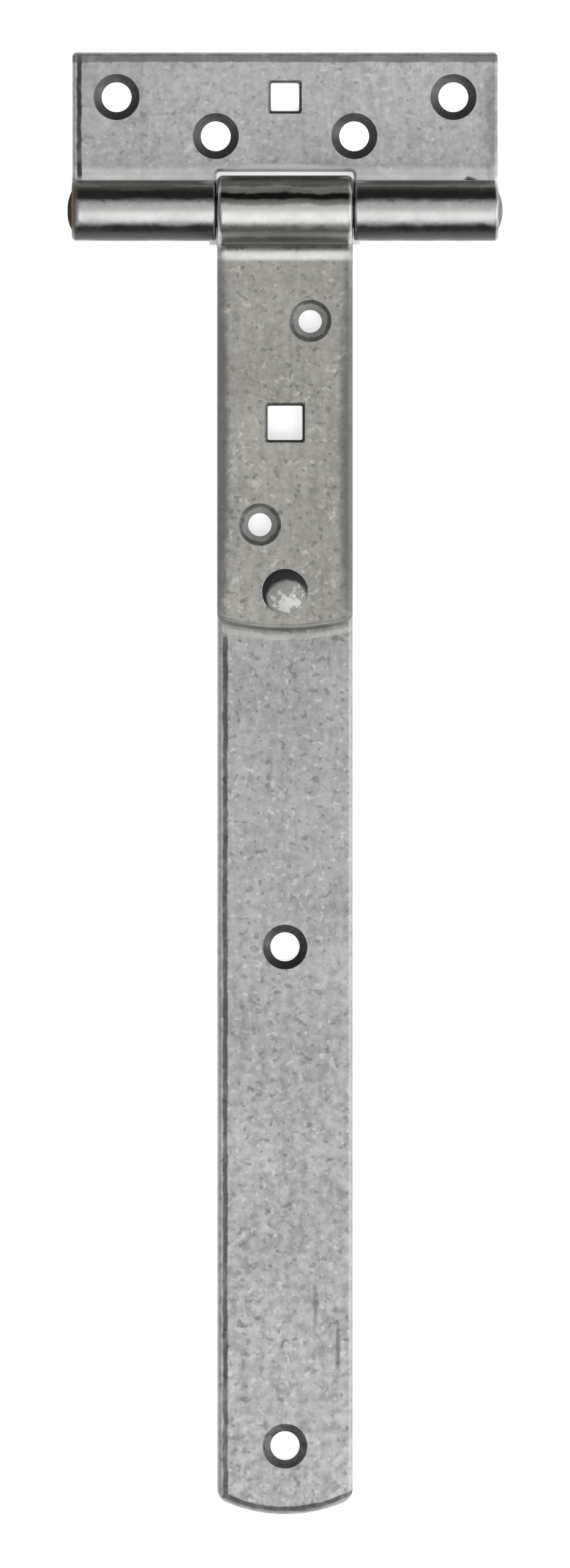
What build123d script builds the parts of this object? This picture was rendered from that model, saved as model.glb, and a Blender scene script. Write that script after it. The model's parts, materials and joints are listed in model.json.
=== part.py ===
from build123d import *

import os
from math import acos, asin, degrees, sqrt

# A heavy tee hinge: a leaf and a strap, each rolled round one pin, and a rivet through the strap.
# X runs along the pin, +Y up the leaf, -Y down the strap and +Z out of the front.
# Both pieces have their flat backs in the plane Z = 0, and the origin is there, behind the pin's middle.
# All sizes are in millimetres.

# Stock
leaf_thickness = 3.0
strap_thickness = 4.0
pin_diameter = 8.0

# Leaf outline
leaf_length = 98.0
leaf_rise = 36.7  # pin axis to the leaf's top edge
leaf_corner_radius = 1.2
leaf_edge_roll = 0.9  # rounding of the blanked edges
notch_corner_radius = 0.8

# Strap outline
strap_width = 31.2
strap_reach = 300.0  # pin axis to the middle of the tip
strap_tip_bow = 3.7  # how far the tip's middle stands past its corners
front_layer_bow = 2.1  # the same at the end of the short front layer
strap_corner_radius = 2.0
strap_edge_roll = 1.3  # rounding of the bar's edges

# Rolls
sweep_radius = 30.0  # centre line, where each flat sweeps into its roll
return_bend_radius = 4.0  # centre line, where the loop turns back into the front layer
back_relief = 0.2  # the thicker knuckle's back, in front of the flat backs

# Clearances
running_clearance = 0.1  # strap loop to pin, on the radius
seat_clearance = 0.02  # leaf roll to pin, on the radius
knuckle_gap = 0.7  # strap side to each leaf knuckle
notch_clearance = 0.35  # swinging strap to the notch's upper edge
layer_gap = 0.15  # between the strap's two layers
roll_end_gap = 0.4  # end of the leaf's roll to the flat below it
rivet_clearance = 0.05  # rivet to its hole, on the radius

# Screw holes, all with the same countersink
sink_angle = 90.0
leaf_screw_diameter = 6.9
leaf_sink_diameter = 10.5
leaf_screw_end_margin = 10.2  # outer screws to the leaf's ends
leaf_screw_top_margin = 10.3  # outer screws and square hole to the leaf's top edge
inner_screw_pitch = 31.9
inner_screw_rise = 8.75  # inner screws above the notch
near_screw_diameter = 5.4
near_sink_diameter = 9.7
near_screw_pitch = 46.8  # along the strap, half of it each side of the square hole
near_screw_stagger = 11.6  # across the strap
far_screw_diameter = 6.7
far_sink_diameter = 10.2
middle_screw_drop = 72.8  # past the end of the front layer
tip_screw_margin = 15.8

# Square holes for carriage bolts
leaf_square = 6.5
strap_square = 8.0
strap_square_drop = 48.7  # pin axis to the square hole
square_corner_radius = 0.4
square_edge_roll = 0.8  # rounding of their front edges

# Rivet and the pin's peened ends
rivet_diameter = 6.0
rivet_head_diameter = 10.5
rivet_head_height = 2.2
rivet_tail_diameter = 9.0
rivet_pitch = 15.5  # lower near screw to the rivet, along the strap
rivet_end_margin = 8.9  # rivet to the end of the front layer
peen_diameter = 9.2
peen_height = 1.1

# Heights and radii that follow
pin_radius = pin_diameter / 2
axis_height = max(leaf_thickness, strap_thickness) + pin_radius + running_clearance + back_relief
leaf_roll_radius = pin_radius + seat_clearance + leaf_thickness / 2
leaf_knuckle_radius = leaf_roll_radius + leaf_thickness / 2
strap_loop_radius = pin_radius + running_clearance + strap_thickness / 2
front_layer_back = strap_thickness + layer_gap
front_layer_middle = front_layer_back + strap_thickness / 2
strap_front = front_layer_back + strap_thickness
notch_width = strap_width + 2 * knuckle_gap
notch_top = axis_height + notch_clearance

# Places down the strap, measured from the pin axis
near_screw_drops = (strap_square_drop - near_screw_pitch / 2, strap_square_drop + near_screw_pitch / 2)
rivet_drop = near_screw_drops[1] + rivet_pitch
front_layer_reach = rivet_drop + rivet_end_margin
middle_screw_reach = front_layer_reach + middle_screw_drop
tip_screw_reach = strap_reach - tip_screw_margin

# Places up the leaf
outer_screw_x = leaf_length / 2 - leaf_screw_end_margin
outer_screw_y = leaf_rise - leaf_screw_top_margin
inner_screw_y = notch_top + inner_screw_rise


def sweep_into_roll(roll_radius, thickness):
    """Give where a flat leaves the back plane to sweep into its roll, and the angle that it sweeps through."""
    rise = axis_height - roll_radius - thickness / 2
    spread = sweep_radius - roll_radius
    start = sqrt(2 * rise * spread - rise**2)
    return start, degrees(acos(1 - rise / spread))


def dome_radius(rim_radius, height):
    """Give the radius of the ball whose cap has this rim and height."""
    return (rim_radius**2 + height**2) / (2 * height)


# Leaf: a flat sheet whose lower edge sweeps up and rolls round the pin, over the front and down to the flat
leaf_sweep_start, leaf_sweep_angle = sweep_into_roll(leaf_roll_radius, leaf_thickness)
leaf_roll_end = asin((axis_height - leaf_thickness - roll_end_gap) / leaf_knuckle_radius)
leaf_roll_turn = 270 - leaf_sweep_angle + degrees(leaf_roll_end)

with BuildPart() as leaf:
    with BuildSketch(Plane.YZ):
        with BuildLine():
            flat = Line((leaf_rise, leaf_thickness / 2), (leaf_sweep_start, leaf_thickness / 2))
            sweep_up = JernArc(flat @ 1, flat % 1, sweep_radius, -leaf_sweep_angle)
            JernArc(sweep_up @ 1, sweep_up % 1, leaf_roll_radius, -leaf_roll_turn)
        trace(line_width=leaf_thickness)
    extrude(amount=leaf_length / 2, both=True)

    # The notch that leaves two knuckles and lets the strap's knuckle in
    with BuildSketch(Plane.XY):
        with Locations((0, notch_top)):
            Rectangle(notch_width, 2 * (notch_top + leaf_knuckle_radius), align=(Align.CENTER, Align.MAX))
    extrude(amount=axis_height + 2 * leaf_knuckle_radius, mode=Mode.SUBTRACT)

    # Corners first, so that the rounding of the edges runs on round the whole outline
    upright_edges = leaf.edges().filter_by(Axis.Z).group_by(Axis.Y)
    fillet(upright_edges[0], notch_corner_radius)
    fillet(upright_edges[-1], leaf_corner_radius)
    fillet(leaf.faces().filter_by(Axis.X).edges(), leaf_edge_roll)

    with Locations((0, 0, leaf_thickness)):
        with Locations((-outer_screw_x, outer_screw_y), (outer_screw_x, outer_screw_y)):
            CounterSinkHole(leaf_screw_diameter / 2, leaf_sink_diameter / 2, counter_sink_angle=sink_angle)
        with Locations((-inner_screw_pitch / 2, inner_screw_y), (inner_screw_pitch / 2, inner_screw_y)):
            CounterSinkHole(leaf_screw_diameter / 2, leaf_sink_diameter / 2, counter_sink_angle=sink_angle)
    with BuildSketch(Plane.XY):
        with Locations((0, outer_screw_y)):
            RectangleRounded(leaf_square, leaf_square, square_corner_radius)
    extrude(amount=leaf_thickness, mode=Mode.SUBTRACT)
    fillet(leaf.edges(Select.LAST).group_by(Axis.Z)[-1], square_edge_roll)

# Strap: a flat bar looped round the pin from behind, then bent back down in front as a short second layer
strap_sweep_start, strap_sweep_angle = sweep_into_roll(strap_loop_radius, strap_thickness)
return_rise = front_layer_middle - axis_height + return_bend_radius
return_start = degrees(asin(return_rise / (strap_loop_radius + return_bend_radius)))
strap_loop_turn = 270 - return_start - strap_sweep_angle

with BuildPart() as strap:
    with BuildSketch(Plane.YZ):
        with BuildLine():
            back_end = (-strap_reach - strap_tip_bow, strap_thickness / 2)
            back_layer = Line(back_end, (-strap_sweep_start, strap_thickness / 2))
            sweep_up = JernArc(back_layer @ 1, back_layer % 1, sweep_radius, strap_sweep_angle)
            loop = JernArc(sweep_up @ 1, sweep_up % 1, strap_loop_radius, strap_loop_turn)
            turn_back = JernArc(loop @ 1, loop % 1, return_bend_radius, return_start - 90)
            Line(turn_back @ 1, (-front_layer_reach - front_layer_bow, front_layer_middle))
        trace(line_width=strap_thickness)
    extrude(amount=strap_width / 2, both=True)

    # Bowed ends, the tip through the back layer and the other through the front layer alone
    end_cuts = (
        (strap_reach, strap_tip_bow, 0),
        (front_layer_reach, front_layer_bow, strap_thickness + layer_gap / 2),
    )
    for reach, bow, level in end_cuts:
        with BuildSketch(Plane.XY.offset(level)):
            with BuildLine():
                left_corner = (-strap_width / 2, bow - reach)
                right_corner = (strap_width / 2, bow - reach)
                ThreePointArc(left_corner, (0, -reach), right_corner)
                Polyline(
                    right_corner,
                    (strap_width / 2, -reach - 2 * bow),
                    (-strap_width / 2, -reach - 2 * bow),
                    left_corner,
                )
            make_face()
        extrude(amount=strap_front, mode=Mode.SUBTRACT)

    # Corners first, so that the rounding of the edges runs on round both ends
    fillet(strap.edges().filter_by(Axis.Z), strap_corner_radius)
    fillet(strap.faces().filter_by(Axis.X).edges(), strap_edge_roll)

    with Locations((0, 0, strap_front)):
        with Locations(
            (near_screw_stagger / 2, -near_screw_drops[0]),
            (-near_screw_stagger / 2, -near_screw_drops[1]),
        ):
            CounterSinkHole(near_screw_diameter / 2, near_sink_diameter / 2, counter_sink_angle=sink_angle)
    with Locations((0, -middle_screw_reach, strap_thickness), (0, -tip_screw_reach, strap_thickness)):
        CounterSinkHole(far_screw_diameter / 2, far_sink_diameter / 2, counter_sink_angle=sink_angle)
    with BuildSketch(Plane.XY):
        with Locations((0, -strap_square_drop)):
            RectangleRounded(strap_square, strap_square, square_corner_radius)
    extrude(amount=strap_front, mode=Mode.SUBTRACT)
    fillet(strap.edges(Select.LAST).group_by(Axis.Z)[-1], square_edge_roll)

    # The rivet's hole is sunk from the back, so that its tail lies flush
    with Locations(Location((0, -rivet_drop, 0), (180, 0, 0))):
        CounterSinkHole(
            rivet_diameter / 2 + rivet_clearance,
            rivet_tail_diameter / 2 + rivet_clearance,
            counter_sink_angle=sink_angle,
        )

# Pin: one half turned about the axis and mirrored, with its end peened to a low dome over the knuckle's end
peen_radius = peen_diameter / 2
peen_ball = dome_radius(peen_radius, peen_height)

with BuildPart() as pin:
    with BuildSketch(Plane.XY.offset(axis_height)):
        with BuildLine():
            crown = (leaf_length / 2 + peen_height, 0)
            dome = JernArc(crown, (0, 1), peen_ball, degrees(asin(peen_radius / peen_ball)))
            Polyline(dome @ 1, (leaf_length / 2, pin_radius), (0, pin_radius), (0, 0), crown)
        make_face()
    revolve(axis=Axis((0, 0, axis_height), (1, 0, 0)))
    mirror(about=Plane.YZ)

# Rivet: a domed head on the front layer, a shank through both layers and a flush tail
rivet_head_radius = rivet_head_diameter / 2
rivet_ball = dome_radius(rivet_head_radius, rivet_head_height)
rivet_radius = rivet_diameter / 2
rivet_tail_radius = rivet_tail_diameter / 2

with BuildPart() as rivet:
    with BuildSketch(Plane.XZ.offset(rivet_drop)):
        with BuildLine():
            crown = (0, strap_front + rivet_head_height)
            dome = JernArc(crown, (1, 0), rivet_ball, -degrees(asin(rivet_head_radius / rivet_ball)))
            Polyline(
                dome @ 1,
                (rivet_radius, strap_front),
                (rivet_radius, rivet_tail_radius - rivet_radius),
                (rivet_tail_radius, 0),
                (0, 0),
                crown,
            )
        make_face()
    revolve(axis=Axis((0, -rivet_drop, 0), (0, 0, 1)))

leaf.part.label = "leaf"
strap.part.label = "strap"
pin.part.label = "pin"
rivet.part.label = "rivet"

os.makedirs("parts", exist_ok=True)
export_step(leaf.part, "parts/leaf.step")
export_step(strap.part, "parts/strap.step")
export_step(pin.part, "parts/pin.step")
export_step(rivet.part, "parts/rivet.step")
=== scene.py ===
"""Dress a heavy tee hinge: leaf, strap, pin and rivet in dull, worn zinc, lying on a pale floor."""

import json
import logging
import math
import random
from collections.abc import Iterable, Sequence
from dataclasses import dataclass, field
from enum import Enum
from typing import ClassVar

import bmesh
import bpy
from mathutils import Matrix, Vector


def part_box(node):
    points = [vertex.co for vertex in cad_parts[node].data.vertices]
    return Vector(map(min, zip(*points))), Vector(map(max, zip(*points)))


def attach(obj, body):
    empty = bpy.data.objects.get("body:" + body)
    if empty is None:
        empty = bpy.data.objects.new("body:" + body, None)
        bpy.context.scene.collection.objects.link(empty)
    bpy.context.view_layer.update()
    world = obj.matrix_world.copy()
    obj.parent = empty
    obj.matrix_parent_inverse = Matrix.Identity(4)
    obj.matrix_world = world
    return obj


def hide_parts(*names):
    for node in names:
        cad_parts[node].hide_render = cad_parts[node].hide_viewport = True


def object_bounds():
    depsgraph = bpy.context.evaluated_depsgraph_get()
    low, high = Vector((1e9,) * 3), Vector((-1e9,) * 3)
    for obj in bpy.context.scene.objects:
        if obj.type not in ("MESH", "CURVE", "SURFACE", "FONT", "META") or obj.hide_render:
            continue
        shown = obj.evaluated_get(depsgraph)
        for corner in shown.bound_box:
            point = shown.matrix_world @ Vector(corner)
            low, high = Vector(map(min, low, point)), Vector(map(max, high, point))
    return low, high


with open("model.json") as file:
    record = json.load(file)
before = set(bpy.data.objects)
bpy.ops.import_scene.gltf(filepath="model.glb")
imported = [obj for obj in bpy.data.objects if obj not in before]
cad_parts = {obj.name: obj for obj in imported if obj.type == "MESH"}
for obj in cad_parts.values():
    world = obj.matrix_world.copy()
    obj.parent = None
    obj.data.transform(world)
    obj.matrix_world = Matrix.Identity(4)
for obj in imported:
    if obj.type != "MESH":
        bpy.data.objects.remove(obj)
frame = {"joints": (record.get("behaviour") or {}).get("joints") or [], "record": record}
cad_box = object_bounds()

log = logging.getLogger("tee_hinge")

MM = 0.001
ALONG_PIN = Vector((1.0, 0.0, 0.0))
OUT_OF_FRONT = Vector((0.0, 0.0, 1.0))

# Corners nearer than this are one, and faces that turn by less than this are flat
WELD_DISTANCE = 1e-7
FLAT_ANGLE = math.radians(0.5)
# Edges that turn by more than this are square, and get rounded
SQUARE_ANGLE = math.radians(60)

# The pieces' own attributes, which their finishes read
# The first marks worn edges, which also carry a painted sheen; the second marks hole walls, with
# their scale and painted shade
EDGE_WEAR_AND_SHEEN = "edge_wear"
SINK_SCALE_AND_SHADE = "sink_scale"
# Where the sheets are rolled round the pin, so that only a lean along it marks an edge
ROLLED_STRETCH = (-12.5 * MM, 10.0 * MM)

Colour = tuple[float, float, float]
Triple = tuple[float, float, float]
Outline = list[tuple[float, float]]
Spot = tuple[float, float, float]
Element = bmesh.types.BMVert | bmesh.types.BMEdge | bmesh.types.BMFace


class Blend(Enum):
    """The ways that one colour goes over another."""

    COVER = "MIX"
    TINT = "MULTIPLY"


class Punch(Enum):
    """The ways a hole is made."""

    SCREW = "round, sunk from the front"
    BOLT = "square, with a rounded front edge"
    RIVET = "round, sunk from the back"


def with_rims(faces: Iterable[bmesh.types.BMFace]) -> list[Element]:
    """Gather faces with their edges and corners, as the extruding operators want them.

    Args:
        faces: The faces to gather.

    Returns:
        The faces, then their edges, then their corners, each once.
    """
    faces = list(faces)
    edges = dict.fromkeys(edge for face in faces for edge in face.edges)
    corners = dict.fromkeys(corner for face in faces for corner in face.verts)
    return [*faces, *edges, *corners]


def only_faces(elements: Iterable[Element]) -> list[bmesh.types.BMFace]:
    """Keep the faces among mixed mesh elements."""
    return [element for element in elements if isinstance(element, bmesh.types.BMFace)]


def push(
    bm: bmesh.types.BMesh, faces: Iterable[bmesh.types.BMFace], shift: Vector
) -> list[bmesh.types.BMFace]:
    """Extrude faces along a vector.

    Args:
        bm: The mesh that holds them.
        faces: The faces to extrude.
        shift: How far they go.

    Returns:
        The faces at the new end.
    """
    moved = bmesh.ops.extrude_face_region(bm, geom=with_rims(faces))["geom"]
    corners = [element for element in moved if isinstance(element, bmesh.types.BMVert)]
    bmesh.ops.translate(bm, verts=corners, vec=shift)
    return only_faces(moved)


def roll(
    bm: bmesh.types.BMesh,
    faces: Iterable[bmesh.types.BMFace],
    centre: Vector,
    angle: float,
    steps: int,
) -> list[bmesh.types.BMFace]:
    """Carry faces round an axis that runs along the pin, leaving a bent sheet behind them.

    Args:
        bm: The mesh that holds them.
        faces: The faces to carry.
        centre: A point of the axis.
        angle: The turn in radians, positive from +Y towards +Z.
        steps: How many flat steps make the bend.

    Returns:
        The faces at the new end.
    """
    spun = bmesh.ops.spin(
        bm,
        geom=with_rims(faces),
        cent=centre,
        axis=ALONG_PIN,
        dvec=(0.0, 0.0, 0.0),
        angle=angle,
        steps=steps,
        use_merge=False,
        use_normal_flip=False,
        use_duplicate=False,
    )
    return only_faces(spun["geom_last"])


def turn(
    bm: bmesh.types.BMesh, outline: Outline, origin: Vector, axis: Vector, steps: int
) -> None:
    """Spin an outline that starts and ends on the axis into a closed solid.

    Args:
        bm: The mesh that gains the solid.
        outline: Pairs of radius and distance along the axis.
        origin: The point of the axis where that distance is nought.
        axis: The axis, of length one.
        steps: How many sides the solid has.
    """
    across = axis.orthogonal().normalized()
    corners = [bm.verts.new(origin + across * radius + axis * reach) for radius, reach in outline]
    edges = [bm.edges.new(pair) for pair in zip(corners, corners[1:])]
    bmesh.ops.spin(
        bm,
        geom=[*corners, *edges],
        cent=origin,
        axis=axis,
        dvec=(0.0, 0.0, 0.0),
        angle=math.tau,
        steps=steps,
        use_merge=True,
        use_normal_flip=False,
        use_duplicate=False,
    )
    bmesh.ops.remove_doubles(bm, verts=bm.verts, dist=WELD_DISTANCE)
    bmesh.ops.recalc_face_normals(bm, faces=bm.faces)


def round_edges(
    bm: bmesh.types.BMesh, edges: Sequence[bmesh.types.BMEdge], radius: float, segments: int
) -> None:
    """Round edges of a mesh.

    Args:
        bm: The mesh that holds them.
        edges: The edges to round.
        radius: The radius on a square edge.
        segments: How many strips make the rounding.
    """
    bmesh.ops.bevel(
        bm,
        geom=edges,
        offset=radius,
        offset_type="OFFSET",
        segments=segments,
        profile=0.5,
        affect="EDGES",
        clamp_overlap=False,
        material=-1,
        loop_slide=True,
    )


def sharp_edges(bm: bmesh.types.BMesh, least: float) -> list[bmesh.types.BMEdge]:
    """Find the edges whose two faces turn by more than an angle in radians."""
    return [edge for edge in bm.edges if edge.is_manifold and edge.calc_face_angle() > least]


def smooth_step(low: float, high: float, value: float) -> float:
    """Rise smoothly from nought at a low value to one at a high value."""
    share = min(max((value - low) / (high - low), 0.0), 1.0)
    return share * share * (3 - 2 * share)


def upright(edge: bmesh.types.BMEdge) -> bool:
    """Tell whether an edge runs straight from back to front."""
    run = edge.verts[1].co - edge.verts[0].co
    return math.hypot(run.x, run.y) < WELD_DISTANCE


def into_object(bm: bmesh.types.BMesh, name: str) -> bpy.types.Object:
    """Turn a finished mesh into an object of the scene, at the origin.

    Args:
        bm: The mesh, which is freed.
        name: The object's name.

    Returns:
        The new object.
    """
    bmesh.ops.recalc_face_normals(bm, faces=bm.faces)
    mesh = bpy.data.meshes.new(name)
    bm.to_mesh(mesh)
    bm.free()
    made = bpy.data.objects.new(name, mesh)
    bpy.context.scene.collection.objects.link(made)
    return made


def cap_outline(rim: float, height: float, base: float, steps: int) -> Outline:
    """Outline a ball's cap from its rim to its crown on the axis.

    Args:
        rim: The rim's radius.
        height: How far the crown stands above the rim.
        base: The rim's distance along the axis.
        steps: How many steps make the arc.

    Returns:
        Pairs of radius and distance along the axis.
    """
    ball = (rim**2 + height**2) / (2 * height)
    sweep = math.asin(rim / ball)
    angles = [sweep * (1 - step / steps) for step in range(steps + 1)]
    return [(ball * math.sin(a), base + height - ball * (1 - math.cos(a))) for a in angles]


@dataclass(frozen=True)
class Hole:
    """A hole that goes through all that lies behind its front.

    Attributes:
        punch: How it is made.
        x: Place along the pin.
        y: Place along the strap.
        radius: The bore's radius, or half a square's side.
        front: Height of the face that it enters.
        flare: The sink's radius, or the radius that rounds a square's front edge.
        scale: How much dark scale and painted shade cover its walls.
    """

    punch: Punch
    x: float
    y: float
    radius: float
    front: float
    flare: float
    scale: float

    MARGIN: ClassVar[float] = 0.1 * MM
    STEEP_WALL: ClassVar[float] = 0.5
    EVEN_SCALE_AND_SHADE: ClassVar[float] = 0.85
    SIDED_SHADE: ClassVar[float] = 0.4
    SHADED_SIDE: ClassVar[Vector] = Vector((-0.5, 1.0, 0.0))

    def holds(self, place: Vector) -> bool:
        """Tell whether a place in plan is inside the hole's mouth.

        Args:
            place: The place to look at.

        Returns:
            True inside the mouth, its flare included.
        """
        across, along = abs(place.x - self.x), abs(place.y - self.y)
        if self.punch is Punch.BOLT:
            return max(across, along) < self.radius + self.flare
        return math.hypot(across, along) < max(self.radius, self.flare) + self.MARGIN

    def scale_and_shade_on(self, facing: Vector) -> float:
        """Give how much dark scale and painted shade a wall carries, the shade most on walls turned
        from the light.

        Args:
            facing: The way that the wall faces.

        Returns:
            A share between nought and one.
        """
        steep = min(1.0, facing.xy.length / self.STEEP_WALL)
        # The sided share paints shade on the lower and right-hand walls, which face away from the
        # light
        share = self.EVEN_SCALE_AND_SHADE + self.SIDED_SHADE * facing.dot(self.SHADED_SIDE)
        return min(max(self.scale * steep * share, 0.0), 1.0)


@dataclass
class HoleTool:
    """One tool with the shape of every hole of a piece, to cut them together.

    Attributes:
        name: The tool's name.
        spare: How far the tool stands past both faces.
        sides: How many sides a round hole has.
        rim: Radius that softens a sink's outer edge.
        square_corner: Radius in a square hole's corners.
        bm: The tool's mesh.
    """

    name: str
    spare: float = 1.0 * MM
    sides: int = 72
    rim: float = 0.5 * MM
    square_corner: float = 0.4 * MM
    bm: bmesh.types.BMesh = field(default_factory=bmesh.new)

    SINK_LEAN: ClassVar[float] = math.pi / 4
    RIM_STEPS: ClassVar[int] = 4
    CORNER_STEPS: ClassVar[int] = 3
    EDGE_STEPS: ClassVar[int] = 6

    def add(self, hole: Hole) -> None:
        """Add one hole to the tool.

        Args:
            hole: The hole to add.
        """
        if hole.punch is Punch.BOLT:
            self._add_square(hole)
            return
        sunk_from_front = hole.punch is Punch.SCREW
        outline = self._sink_outline(hole) if sunk_from_front else self._rivet_outline(hole)
        turn(self.bm, outline, Vector((hole.x, hole.y, 0.0)), OUT_OF_FRONT, self.sides)

    def _sink_outline(self, hole: Hole) -> Outline:
        """Outline a bore whose front opens in a square-angled cone with a softened rim.

        Args:
            hole: The screw hole.

        Returns:
            Pairs of radius and height.
        """
        reach = self.rim * math.tan(self.SINK_LEAN / 2)
        arc_start = hole.flare - reach * math.cos(self.SINK_LEAN)
        arc_depth = hole.front - reach * math.sin(self.SINK_LEAN)
        outline = [
            (0.0, -self.spare),
            (hole.radius, -self.spare),
            (hole.radius, hole.front - (hole.flare - hole.radius)),
            (arc_start, arc_depth),
        ]
        centre_out, centre_up = hole.flare + reach, hole.front - self.rim
        for step in range(1, self.RIM_STEPS):
            lean = self.SINK_LEAN * (1 - step / self.RIM_STEPS)
            out, up = self.rim * math.sin(lean), self.rim * math.cos(lean)
            outline.append((centre_out - out, centre_up + up))
        outline.append((centre_out + reach, hole.front + reach / self.RIM_STEPS))
        outline.append((centre_out + reach, hole.front + self.spare))
        outline.append((0.0, hole.front + self.spare))
        return outline

    def _rivet_outline(self, hole: Hole) -> Outline:
        """Outline a bore whose back opens in a square-angled cone.

        Args:
            hole: The rivet's hole.

        Returns:
            Pairs of radius and height.
        """
        return [
            (0.0, -self.spare),
            (hole.flare, -self.spare),
            (hole.flare, 0.0),
            (hole.radius, hole.flare - hole.radius),
            (hole.radius, hole.front + self.spare),
            (0.0, hole.front + self.spare),
        ]

    def _add_square(self, hole: Hole) -> None:
        """Add a square hole whose front edge is rounded, as a punch drags it.

        Args:
            hole: The square hole.
        """
        block = bmesh.ops.create_cube(self.bm, size=1.0)["verts"]
        straight = hole.front - hole.flare + self.spare
        bmesh.ops.scale(self.bm, verts=block, vec=(2 * hole.radius, 2 * hole.radius, straight))
        bmesh.ops.translate(self.bm, verts=block, vec=(hole.x, hole.y, straight / 2 - self.spare))
        edges = dict.fromkeys(edge for corner in block for edge in corner.link_edges)
        corner_edges = [edge for edge in edges if upright(edge)]
        round_edges(self.bm, corner_edges, self.square_corner, self.CORNER_STEPS)
        middle_of_lid = Vector((hole.x, hole.y, straight - self.spare))
        lids = [
            face
            for face in self.bm.faces
            if (face.calc_center_median() - middle_of_lid).length < self.square_corner
        ]
        leans = [math.pi / 2 * step / self.EDGE_STEPS for step in range(self.EDGE_STEPS + 1)]
        risen = [hole.flare * math.sin(lean) for lean in leans]
        opened = [hole.flare * (1 - math.cos(lean)) for lean in leans]
        risen[-1] += self.rim / self.EDGE_STEPS
        risen.append(hole.flare + self.spare)
        opened.append(opened[-1])
        middle = Matrix.Translation((-hole.x, -hole.y, 0.0))
        for step in range(1, len(risen)):
            lids = push(self.bm, lids, OUT_OF_FRONT * (risen[step] - risen[step - 1]))
            grown = (hole.radius + opened[step]) / (hole.radius + opened[step - 1])
            corners = [corner for face in lids for corner in face.verts]
            bmesh.ops.scale(self.bm, verts=corners, vec=(grown, grown, 1.0), space=middle)

    def cut(self, piece: bpy.types.Object) -> None:
        """Take the tool's shape out of a piece, and put the tool away.

        Args:
            piece: The piece to cut, whose mesh is made anew.
        """
        tool = into_object(self.bm, self.name)
        boolean = piece.modifiers.new(self.name, "BOOLEAN")
        boolean.operation = "DIFFERENCE"
        boolean.solver = "EXACT"
        boolean.object = tool
        plain = piece.data
        graph = bpy.context.evaluated_depsgraph_get()
        piece.data = bpy.data.meshes.new_from_object(piece.evaluated_get(graph))
        piece.modifiers.clear()
        piece.data.name = piece.name
        bpy.data.meshes.remove(plain)
        tool_mesh = tool.data
        bpy.data.objects.remove(tool)
        bpy.data.meshes.remove(tool_mesh)


@dataclass(frozen=True)
class Axle:
    """Where the pin lies, and how the two sheets come up to it.

    Attributes:
        height: The pin's axis above the flat backs.
        sweep_radius: Centre line radius where a flat sweeps into its roll.
    """

    height: float
    sweep_radius: float = 30.0 * MM

    @property
    def centre(self) -> Vector:
        """The middle of the pin's axis."""
        return Vector((0.0, 0.0, self.height))

    def sweep(self, roll_radius: float, thickness: float) -> tuple[float, float]:
        """Work out how a flat sheet leaves the back plane to meet its roll.

        Args:
            roll_radius: The roll's centre line radius.
            thickness: The sheet's thickness.

        Returns:
            The distance from the axis where the sweep starts, and the angle that it turns through.
        """
        rise = self.height - roll_radius - thickness / 2
        spread = self.sweep_radius - roll_radius
        return math.sqrt(2 * rise * spread - rise**2), math.acos(1 - rise / spread)


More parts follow.
